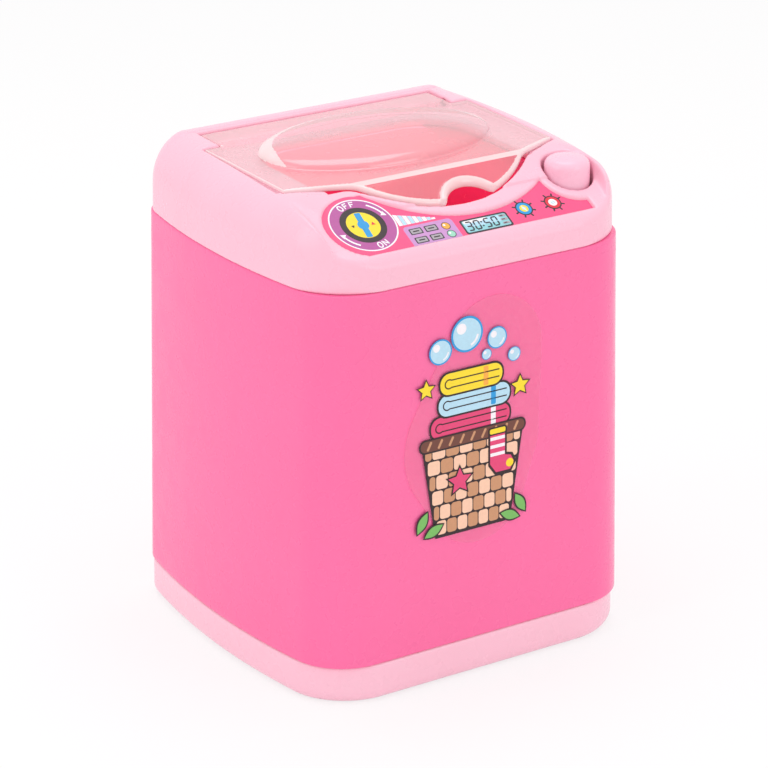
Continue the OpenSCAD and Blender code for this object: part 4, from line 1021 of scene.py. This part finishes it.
def notched_plan(x, y):
    notch = circle_field(x, y, NOTCH_CENTRE, NOTCH_R)
    return soft_max(lid_plan(x, y, 0, 0), -notch, NOTCH_ROUND)


def lid_field(x, y, z):
    sheet = round_join(lid_top(x, y, z, 0), -lid_top(x, y, z, LID_T), EDGE_ROUND)
    plan = notched_plan(x, y)
    sheet = round_join(sheet, plan, EDGE_ROUND)
    bead = np.maximum(notch_bead(x, y, z), plan)
    sheet = soft_min(sheet, bead, 0.3)
    pin = np.maximum(np.hypot(y - HINGE_Y, z - HINGE_Z) - PIN_R, np.abs(x) - TAIL_HALF - PIN_LENGTH)
    pin = np.maximum(pin, TAIL_HALF - 1.5 - np.abs(x))
    return np.minimum(sheet, pin)


print("the bulge stands", DOME_H, "mm over a sheet", LID_T, "mm thick")

# %% Lay the lid's net and pick out its pale edges
# The first, paler plastic is a painted highlight; the others differ only in how much they hide.
LID_SHADES = [
    milky_plastic("lid_painted_highlight_plastic", (255, 236, 236), 0.8, 0.3),
    milky_plastic("lid_underside_plastic", LID_COLOUR, 0.04, 0.2),
    milky_plastic("lid_flap_plastic", LID_COLOUR, 0.26),
    milky_plastic("lid_tail_plastic", LID_COLOUR, 0.6),
]


def shade_lid(mesh):
    """Gives the rim, the fold, the notch and the bulge's foot the paler plastic, a painted
    highlight.

    The sheet's lower face, the flap and the tail behind the hinge get shades of their own.
    """
    for shade in LID_SHADES:
        mesh.materials.append(shade)
    centres = np.array([face.center for face in mesh.polygons]) / MM
    x, y, z = centres.T
    # Faces with the painted highlight: the rim (on the sides only its upper part), the fold, the
    # notch's lip, and a band round the oval's foot that is widest at the rear and gone at the
    # front.
    rim = (notched_plan(x, y) > np.where(y < LID_WING, -0.75, -0.3)) & (y < LID_STEP + 1)
    rim &= (y < LID_WING) | (z > LID_Z - 0.6)
    fold = (np.abs(y - LID_FOLD) < 0.9) & (np.abs(z - LID_Z) < 0.8)
    bead = notch_bead(x, y, z) < 0.1
    out = np.hypot(x / DOME_HALF[0], (y - DOME_CENTRE_Y) / DOME_HALF[1])
    back = (y - DOME_CENTRE_Y) / DOME_HALF[1]
    limb_from = 0.9 - 0.08 * np.clip(back, 0, 1) + 0.1 * np.clip(-back / 0.35, 0, 1)
    oval_foot_highlight = (out > limb_from) & (out < 1.0) & (z > LID_Z + 0.25)
    # pale holds every face with the painted highlight.
    pale = rim | fold | bead | oval_foot_highlight
    facing = np.array([face.normal.z for face in mesh.polygons])
    under = ~pale & (facing < -0.2)
    flap = ~pale & ~under & (y < LID_FOLD)
    tail = ~pale & ~under & (y > HINGE_Y - 2)
    choice = pale.astype(int) + 2 * under + 3 * flap + 4 * tail
    mesh.polygons.foreach_set("material_index", choice)
    return int(pale.sum())


lid_low, lid_high = (-36.4, -29, 106.5), (36.4, 31, LID_Z + DOME_H + 0.8)
lid_shape = net_over(lid_field, lid_low, lid_high, 0.3)
lid = make_piece("lid_skin", lid_shape, "lid", "lid_milky")
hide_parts("lid")
print("pale faces:", shade_lid(lid.data))

# %% [markdown]
# The button
#
# The button is a small cup with a domed top, pushed up by its spring. It is turned from one
# profile that crowns the top gently and rounds its shoulder. A stem under it presses the
# plunger of the switch.

# %% Turn the button
BUTTON_R = 5.2
BUTTON_TOP = DECK_H - 0.9
CROWN = 0.5
FLAT_SHARE, SHOULDER_FALL = 0.64, 2.1
SKIRT_R, SKIRT_T = GUIDE_R + 0.5, 1.2
SKIRT_Z = GUIDE_Z - 0.2 - SKIRT_T
CEILING_Z = GUIDE_Z + 1.6
CUP_R, STEM_R, SOCKET_R, CENTRE_R = 4.0, 2.2, 1.64, 0.01
STEM_LOW, SOCKET_TOP = 96.6, 98.5


def button_profile():
    """Radius and height from the middle of the top, down the outside and up the inside."""
    profile = [(CENTRE_R, BUTTON_TOP)]
    for k in range(1, 7):
        profile.append((BUTTON_R * FLAT_SHARE * k / 6, BUTTON_TOP - CROWN * (k / 6) ** 2))
    for turn in (75, 60, 45, 30, 15, 0):
        inward, down = 1 - math.cos(math.radians(turn)), 1 - math.sin(math.radians(turn))
        radius = BUTTON_R - BUTTON_R * (1 - FLAT_SHARE) * inward
        profile.append((radius, BUTTON_TOP - CROWN - SHOULDER_FALL * down))
    profile += [(BUTTON_R, SKIRT_Z + SKIRT_T), (SKIRT_R, SKIRT_Z + SKIRT_T), (SKIRT_R, SKIRT_Z)]
    return profile + [(CUP_R, SKIRT_Z), (CUP_R, CEILING_Z), (CENTRE_R, CEILING_Z)]


button_shape = turned_shape(button_profile()[::-1], BUTTON, 96)
button = make_piece("button_skin", button_shape, "button", "button_pink")
button.data.set_sharp_from_angle(angle=math.radians(40))
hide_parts("power_button")
stem = [(CENTRE_R, SOCKET_TOP), (SOCKET_R, SOCKET_TOP), (SOCKET_R, STEM_LOW)]
stem += [(STEM_R, STEM_LOW), (STEM_R, CEILING_Z + 0.2)]
stem_shape = turned_shape(stem, BUTTON, 32)
make_piece("button_stem", stem_shape, "button", "button_pink", False)

# %% [markdown]
# Printing on film
#
# The label and the sticker are printed films. Each printed shape is cut here as a thin chip of
# ink, about a hundredth of a millimetre thick, and the chips are stacked in the order in which
# a printer would lay them down. A drawing is a list of outlines on a flat sheet, and one
# function carries the sheet to its place on the toy. A point of the sheet is written as one
# complex number, u + v j, so that turning a shape is one multiplication.

# %% Outlines on a flat sheet


def disc(centre, radius, steps=48):
    return arc_points(centre, radius, 0, 360 * (1 - 1 / steps), steps - 1)


def turned(points, centre, degrees):
    spin = cmath.rect(1, math.radians(degrees))
    return [centre + (point - centre) * spin for point in points]


def rounded_box(centre, width, height, radius, turn=0):
    radius = min(radius, width / 2 - 0.001, height / 2 - 0.001)
    across, along = width / 2 - radius, height / 2 - radius
    points = []
    for start, sx, sy in ((0, 1, 1), (90, -1, 1), (180, -1, -1), (270, 1, -1)):
        corner = centre + complex(sx * across, sy * along)
        points += arc_points(corner, radius, start, start + 90, 5)
    return turned(points, centre, turn)


def arc_band(centre, inner, outer, start, end, steps=24):
    there = arc_points(centre, outer, start, end, steps)
    return there + arc_points(centre, inner, end, start, steps)


def stroke(path, width):
    """A line of even width along a path, as one outline."""
    left, right = [], []
    for k, point in enumerate(path):
        run = path[min(k + 1, len(path) - 1)] - path[max(k - 1, 0)]
        across = 1j * run / abs(run) * width / 2
        left.append(point + across)
        right.append(point - across)
    return left + right[::-1]


def star(centre, radius, turn=0, points=5, depth=0.48):
    outline = []
    for k in range(2 * points):
        reach = radius * (depth if k % 2 else 1)
        outline.append(centre + cmath.rect(reach, math.radians(90 + turn + 180 * k / points)))
    return outline


def leaf(centre, length, width, turn=0):
    half = [
        complex(length * (share - 0.5), width / 2 * math.sin(math.pi * share))
        for share in np.linspace(0, 1, 13)
    ]
    whole = half + [point.conjugate() for point in half[-2:0:-1]]
    return turned([centre + point for point in whole], centre, turn)


print("a disc has", len(disc(0, 1)), "points and a star", len(star(0, 1)))

# %% Cut the chips of ink
LEVEL_MM = 0.012


def dot(centre, radius, ink, level, steps=48):
    return disc(centre, radius, steps), ink, level


def box(centre, width, height, radius, ink, level, turn=0):
    return rounded_box(centre, width, height, radius, turn), ink, level


def print_chips(name, chips, place):
    """chips is a list of (outline, ink, level); place(u, v, h) gives a point in millimetres."""
    mesh = bpy.data.meshes.new(name)
    sheet = bmesh.new()
    inks = []
    for outline, ink, level in chips:
        if ink not in inks:
            inks.append(ink)
            mesh.materials.append(INKS[ink])
        bottom, top = [[
            sheet.verts.new(Vector(place(point.real, point.imag, LEVEL_MM * height)) * MM)
            for point in outline
        ] for height in (level, level + 1)]
        faces = [sheet.faces.new(top), sheet.faces.new(bottom[::-1])]
        for k in range(len(outline)):
            after = (k + 1) % len(outline)
            faces.append(sheet.faces.new((bottom[k], bottom[after], top[after], top[k])))
        for face in faces:
            face.material_index = inks.index(ink)
    bmesh.ops.recalc_face_normals(sheet, faces=sheet.faces)
    sheet.to_mesh(mesh)
    sheet.free()
    print(name, "has", len(chips), "chips of ink")
    place_piece(name, mesh, "housing")


print("each layer of ink is", LEVEL_MM, "mm thick")

# %% [markdown]
# The control panel's print
#
# A pretend dial with OFF and ON, a pad of four keys with two lamps, a time display and two
# small timers. The drawing is laid out along the panel: u runs to the right and v up the slope.

# %% Letters and digits made of strokes
LETTERS = {
    "O": [[0.5 + 0.5j + complex(0.42 * math.cos(a), 0.5 * math.sin(a))
           for a in np.linspace(0, 2 * math.pi, 17)]],
    "N": [[0.08, 0.08 + 1j], [0.08 + 1j, 0.92], [0.92, 0.92 + 1j]],
    "F": [[0.15, 0.15 + 1j], [0.15 + 0.92j, 0.9 + 0.92j], [0.15 + 0.5j, 0.75 + 0.5j]],
}
TOP, MIDDLE, BOTTOM = ([0.1 + v, 0.9 + v] for v in (1j, 0.5j, 0))
UPPER_LEFT, UPPER_RIGHT = ([u + 0.55j, u + 0.95j] for u in (0.08, 0.92))
LOWER_LEFT, LOWER_RIGHT = ([u + 0.05j, u + 0.45j] for u in (0.08, 0.92))
DIGITS = {
    "0": (TOP, BOTTOM, UPPER_LEFT, UPPER_RIGHT, LOWER_LEFT, LOWER_RIGHT),
    "3": (TOP, MIDDLE, BOTTOM, UPPER_RIGHT, LOWER_RIGHT),
    "5": (TOP, MIDDLE, BOTTOM, UPPER_LEFT, LOWER_RIGHT),
}


def word_chips(word, centre, radius, middle_angle, size, ink, level):
    """A word set round a dial, upright at the top and at the foot alike."""
    chips = []
    sign = 1 if middle_angle > 0 else -1
    for k, letter in enumerate(word):
        offset = (k - (len(word) - 1) / 2) * size * 1.05
        angle = math.radians(middle_angle) - sign * offset / radius
        base = centre + cmath.rect(radius, angle)
        turn = math.degrees(angle) - 90 * sign
        for path in LETTERS[letter]:
            local = [base + complex((p.real - 0.5) * 0.8, p.imag - 0.5) * size for p in path]
            chips.append((turned(stroke(local, size * 0.2), base, turn), ink, level))
    return chips


print("letters:", *LETTERS, "and digits:", *DIGITS)

# %% Draw the dial and the timers
DIAL_R = 7.9


def dial_chips(centre):
    chips = [dot(centre, DIAL_R, "white", 0, 72), dot(centre, DIAL_R - 0.35, "mauve", 1, 72)]
    chips += word_chips("OFF", centre, 6.45, 100, 1.55, "white", 2)
    chips += word_chips("ON", centre, 6.45, -76, 1.55, "white", 2)
    for start in (18, 198):
        chips.append((arc_band(centre, 6.3, 6.75, start, start + 38), "white", 2))
    for start in (18, 198):
        tip = centre + cmath.rect(6.5, math.radians(start))
        chips.append((star(tip, 0.85, start + 90, 3, 0.5), "white", 3))
    chips += [dot(centre, 5.35, "dark", 2, 64), dot(centre, 3.9, "yellow", 3, 56)]
    chips.append(box(centre, 1.5, 7.4, 0.2, "blue", 4, -4))
    chips.append(box(centre, 7.4, 0.5, 0.1, "yellow", 5, -4))
    chips.append(dot(centre, 1.35, "blue", 6, 32))
    for shift, size, turn, ink in ((2.4, 0.6, 0, "red"), (-2.5, 0.5, 60, "dark")):
        chips.append((turned(star(centre + shift, size, turn, 3, 0.5), centre, -4), ink, 6))
    return chips


def timer_chips(centre, ring, middle):
    """A small timer: ticks round a dark rim, a coloured ring and a coloured middle."""
    tick = rounded_box(centre + 2.4, 0.9, 0.42, 0.08)
    chips = [(turned(tick, centre, 22.5 + 45 * k), "ink", 0) for k in range(8)]
    chips += [dot(centre, 2.1, "ink", 1), dot(centre, 1.78, ring, 2), dot(centre, 1.05, middle, 3)]
    return chips + [dot(centre, 0.5, "pale_blue", 4), box(centre, 0.26, 1.9, 0.05, "white", 5, 20)]


print("the dial has", len(dial_chips(0)), "chips")

# %% Draw the keys and the display


def key_chips():
    """Lilac pad with four keys and two lamps."""
    chips = [box(-9.9 - 1.9j, 12.6, 6.6, 1.0, "lilac", 0)]
    for column in (0, 1):
        for row in (0, 1):
            centre = complex(-13.5 + 3.9 * column, -0.35 - 2.7 * row)
            mark = "dark" if row == column else "ink"
            chips += [box(centre, 3.2, 1.8, 0.25, "ink", 1), box(centre, 2.6, 1.3, 0.15, "grey", 2)]
            chips.append(box(centre, 1.6, 0.35, 0.1, mark, 3))
    for centre, ink in ((-5.9 - 0.6j, "orange"), (-5.8 - 3.1j, "mint")):
        chips += [dot(centre, 1.1, "ink", 1), dot(centre, 0.92, ink, 2)]
        chips.append(dot(centre - 0.3 + 0.3j, 0.3, "white", 3))
    return chips


def display_chips(digits):
    """A time display that shades from aqua to white, with a column of small marks."""
    centre, width, height = 3.9 - 2.2j, 12.4, 4.4
    chips = [box(centre, width, height, 0.6, "ink", 0)]
    chips.append(box(centre, width - 0.9, height - 0.9, 0.4, "aqua", 1))
    for band, ink in enumerate(("pale_blue", "pale_blue", "white")):
        light = centre - 0.6 + 0.6j + (-0.9 + 0.35j) * band
        chips.append(box(light, 9.4 - 1.6 * band, 1.8 - 0.5 * band, 0.3, ink, 2 + band))
    for shift, digit in zip((0, 2.0, 4.7, 6.7), digits):
        corner = centre - 5.2 - 1.25j + shift
        for bar in DIGITS[digit]:
            path = [corner + complex(1.45 * p.real + 0.12 * p.imag, 2.5 * p.imag) for p in bar]
            chips.append((stroke(path, 0.34), "ink", 6))
    chips += [dot(centre - 1.1 + rise, 0.22, "ink", 6, 16) for rise in (-0.6j, 0.6j)]
    for row in range(3):
        mark = centre + 4.7 + 1.15j - 1.1j * row
        chips += [box(mark, 1.7, 0.6, 0.12, "grey", 6), box(mark - 0.2, 0.8, 0.25, 0.05, "ink", 7)]
    return chips


def stripe_chips():
    """Pale wedge beside the dial, striped like a level gauge."""
    chips = []
    for k in range(9):
        foot = -16.4 + 1.05 * k + 2j
        tall = 3.4j * (1 - k / 9) + 0.2j
        bar = [foot, foot + 0.95, foot + 0.95 + tall * 0.89, foot + tall]
        chips.append((bar, "pale_blue" if k % 2 else "white", 0))
    return chips


print("the keys have", len(key_chips()), "chips and the wedge", len(stripe_chips()))

# %% Lay the print on the panel
PRINT_Y = -33.0
FILM_DEPTH = 0.7


def on_panel(u, v, h):
    """A point h over the label film, u to the right and v up the slope from PRINT_Y."""
    up = h - FILM_DEPTH
    y = PRINT_Y + v * PANEL_COS - up * math.sin(PANEL_ANGLE)
    foot = DECK_H + PANEL_TAN * (PRINT_Y - CREASE_Y)
    return u, y, foot + v * math.sin(PANEL_ANGLE) + up * PANEL_COS


panel_chips = dial_chips(complex(-24.4, (-29.1 - PRINT_Y) / PANEL_COS))
panel_chips += stripe_chips() + key_chips() + display_chips("3050")
panel_chips += timer_chips(15.0 - 0.4j, "blue", "yellow") + timer_chips(22.8 - 0.4j, "red", "white")
print_chips("panel_print", panel_chips, on_panel)

# %% [markdown]
# The sticker's picture
#
# The sticker is a clear film cut close round its picture. The picture here is a plain one for
# a toy washing machine: a wicker basket of folded washing with a sock over its rim, bubbles,
# stars and leaves, in the warm browns, pinks and sky blues that suit the toy.

# %% Draw the washing basket


def basket_chips(top, foot, half_top, half_foot, level):
    """A wicker basket: dark outline, tan weave in courses, and a rolled rim."""
    courses, count, joint = 6, 7, 0.12
    step = (top - foot) / courses
    right_edge = [complex(half_foot + 0.5, foot - 0.6), complex(half_top + 0.6, top)]
    left_edge = [-point.conjugate() for point in right_edge[::-1]]
    chips = [(left_edge + right_edge, "dark", level)]
    for row in range(courses):
        v = foot + (row + 0.5) * step
        width = 2 * (half_foot + (half_top - half_foot) * (v - foot) / (top - foot))
        for k in range(count + row % 2):
            u = -width / 2 + width * (k + 0.5 - 0.5 * (row % 2)) / count
            left = max(u - width / count / 2 + joint, -width / 2)
            right = min(u + width / count / 2 - joint, width / 2)
            brick = complex((left + right) / 2, v)
            ink = "tan" if (k + row) % 2 else "peach"
            chips.append(box(brick, right - left, step - 0.35, 0.7, ink, level + 1))
    rim = complex(0, top)
    chips.append(box(rim, 2 * half_top + 2.6, 3.4, 1.6, "dark", level + 2))
    chips.append(box(rim, 2 * half_top + 1.8, 2.6, 1.25, "brown", level + 3))
    for k in range(9):
        twist = rim - half_top + 1.4 + (2 * half_top - 2.8) * k / 8
        chips.append(box(twist, 0.6, 2.3, 0.25, "tan", level + 4, -28))
    return chips


print("the basket has", len(basket_chips(-3.0, -25.0, 13.0, 9.6, 0)), "chips")

# %% Draw towels, a sock and bubbles


def towel_chips(centre, width, ink, stripe, level):
    """A folded towel seen from its end, with a rolled fold at the left."""
    height = 5.0
    chips = [box(centre, width + 0.9, height + 0.9, 2.6, "dark", level)]
    chips.append(box(centre, width, height, 2.3, ink, level + 1))
    for seam in (1 - 0.85j, 1 + 0.85j):
        chips.append(box(centre + seam, width - 3.6, 0.3, 0.1, "dark", level + 2))
    band = centre + width / 2 - 4.4
    chips.append(box(band, 1.3, height - 0.5, 0.3, stripe, level + 2))
    fold = centre - width / 2 + 2.3
    chips.append((arc_band(fold, 0.9, 1.2, 60, 300, 16), "dark", level + 3))
    return chips


def sock_chips(level):
    """A striped sock that hangs over the basket's rim."""
    leg = [4.6 - 3j, 4.6 - 11j, 6.2 - 13.2j, 10 - 13.2j]
    leg += [11 - 11.4j, 10.2 - 9.8j, 8.6 - 9.4j, 8.6 - 3j]
    edge = [4.1 - 2.6j, 4.1 - 11.3j, 5.9 - 13.8j, 10.3 - 13.8j]
    edge += [11.7 - 11.4j, 10.7 - 9.3j, 9.1 - 8.9j, 9.1 - 2.6j]
    chips = [(edge, "dark", level), (leg, "rose", level + 1)]
    chips += [box(6.6 + v, 3.9, 0.8, 0.1, "white", level + 2) for v in (-5.0j, -6.9j, -8.8j)]
    chips.append(box(6.6 - 3.2j, 5.0, 1.9, 0.6, "dark", level + 2))
    chips.append(box(6.6 - 3.2j, 4.2, 1.2, 0.4, "yellow", level + 3))
    return chips + [dot(9.9 - 11.6j, 1.0, "yellow", level + 2)]


def bubble_chips(centre, radius, level):
    chips = [dot(centre, radius, "blue", level), dot(centre, radius * 0.88, "pale_blue", level + 1)]
    chips.append(dot(centre + radius * (-0.35 + 0.35j), radius * 0.3, "white", level + 2))
    gleam = arc_band(centre, radius * 0.62, radius * 0.74, -70, -10, 8)
    return chips + [(gleam, "white", level + 2)]


print("the sock has", len(sock_chips(0)), "chips")

# %% Lay the picture on the front
STICKER_CENTRE = (-3.5, 62.0)
BUBBLES = {-8.6 + 18.6j: 3.0, -1.6 + 21.4j: 4.2, 6.4 + 19j: 2.6, 3.6 + 15.6j: 1.3, 11 + 14.2j: 1.7}
STARS = [(-12.4 + 10.4j, 2.2, "yellow"), (12.6 + 6.4j, 2.4, "yellow"), (-3.6 - 13j, 3.2, "rose")]
LEAVES = {-13.6 - 21j: 60, -10.6 - 23.6j: 25, 12.8 - 22j: 120, 10 - 24.4j: 160}


def on_front(u, v, h):
    """A point on the sticker, u to the right and v up from its centre."""
    z = STICKER_CENTRE[1] + v
    return STICKER_CENTRE[0] + u, FRONT_Y * (1 - DRAFT * z) - 0.3 - h, z


picture = basket_chips(-3.0, -25.0, 13.0, 9.6, 6)
picture += towel_chips(-0.6 + 0.6j, 21, "rose", "white", 0)
picture += towel_chips(0.4 + 5.6j, 19, "pale_blue", "blue", 4)
picture += towel_chips(-0.4 + 10.6j, 16.5, "yellow", "orange", 8)
picture += sock_chips(12)
for centre, radius in BUBBLES.items():
    picture += bubble_chips(centre, radius, 13)
for centre, size, ink in STARS:
    picture += [(star(centre, size * 1.25), "dark", 16), (star(centre, size), ink, 17)]
for centre, turn in LEAVES.items():
    picture.append((leaf(centre, 6.4, 3.0, turn), "dark", 16))
    picture.append((leaf(centre, 5.4, 2.2, turn), "green", 17))
print_chips("sticker_print", picture, on_front)

# %% [markdown]
# The table
#
# The toy stands on a pale sheet. For the camera the sheet is mostly lit from within, so that
# it runs into the white background, and a part of it stays a real surface, so that the toy
# keeps its soft shadow and looks as though it stands on something.

# %% Lay the sheet
PAPER_COLOUR = (0.99, 0.98, 0.985, 1.0)
GLOW_SHARE = 0.72
HALF_M = 4.0

sheet_material = bpy.data.materials.new("pale_sheet")
tree = Tree(sheet_material, empty=True)
paper = tree.add("BsdfDiffuse", {"Color": PAPER_COLOUR})
glow = tree.add("Emission", {"Color": PURE_WHITE, "Strength": 1.0})
bright = tree.add("MixShader", {"Fac": GLOW_SHARE, 1: paper, 2: glow})
tree.end("OutputMaterial", paper, bright)

sheet_mesh = bpy.data.meshes.new("pale_sheet")
corners = [(-HALF_M, -HALF_M, 0), (HALF_M, -HALF_M, 0), (HALF_M, HALF_M, 0), (-HALF_M, HALF_M, 0)]
sheet_mesh.from_pydata(corners, [], [(0, 1, 2, 3)])
sheet_mesh.materials.append(sheet_material)
sheet = bpy.data.objects.new("pale_sheet", sheet_mesh)
bpy.context.scene.collection.objects.link(sheet)
print("the sheet is", 2 * HALF_M, "m wide")
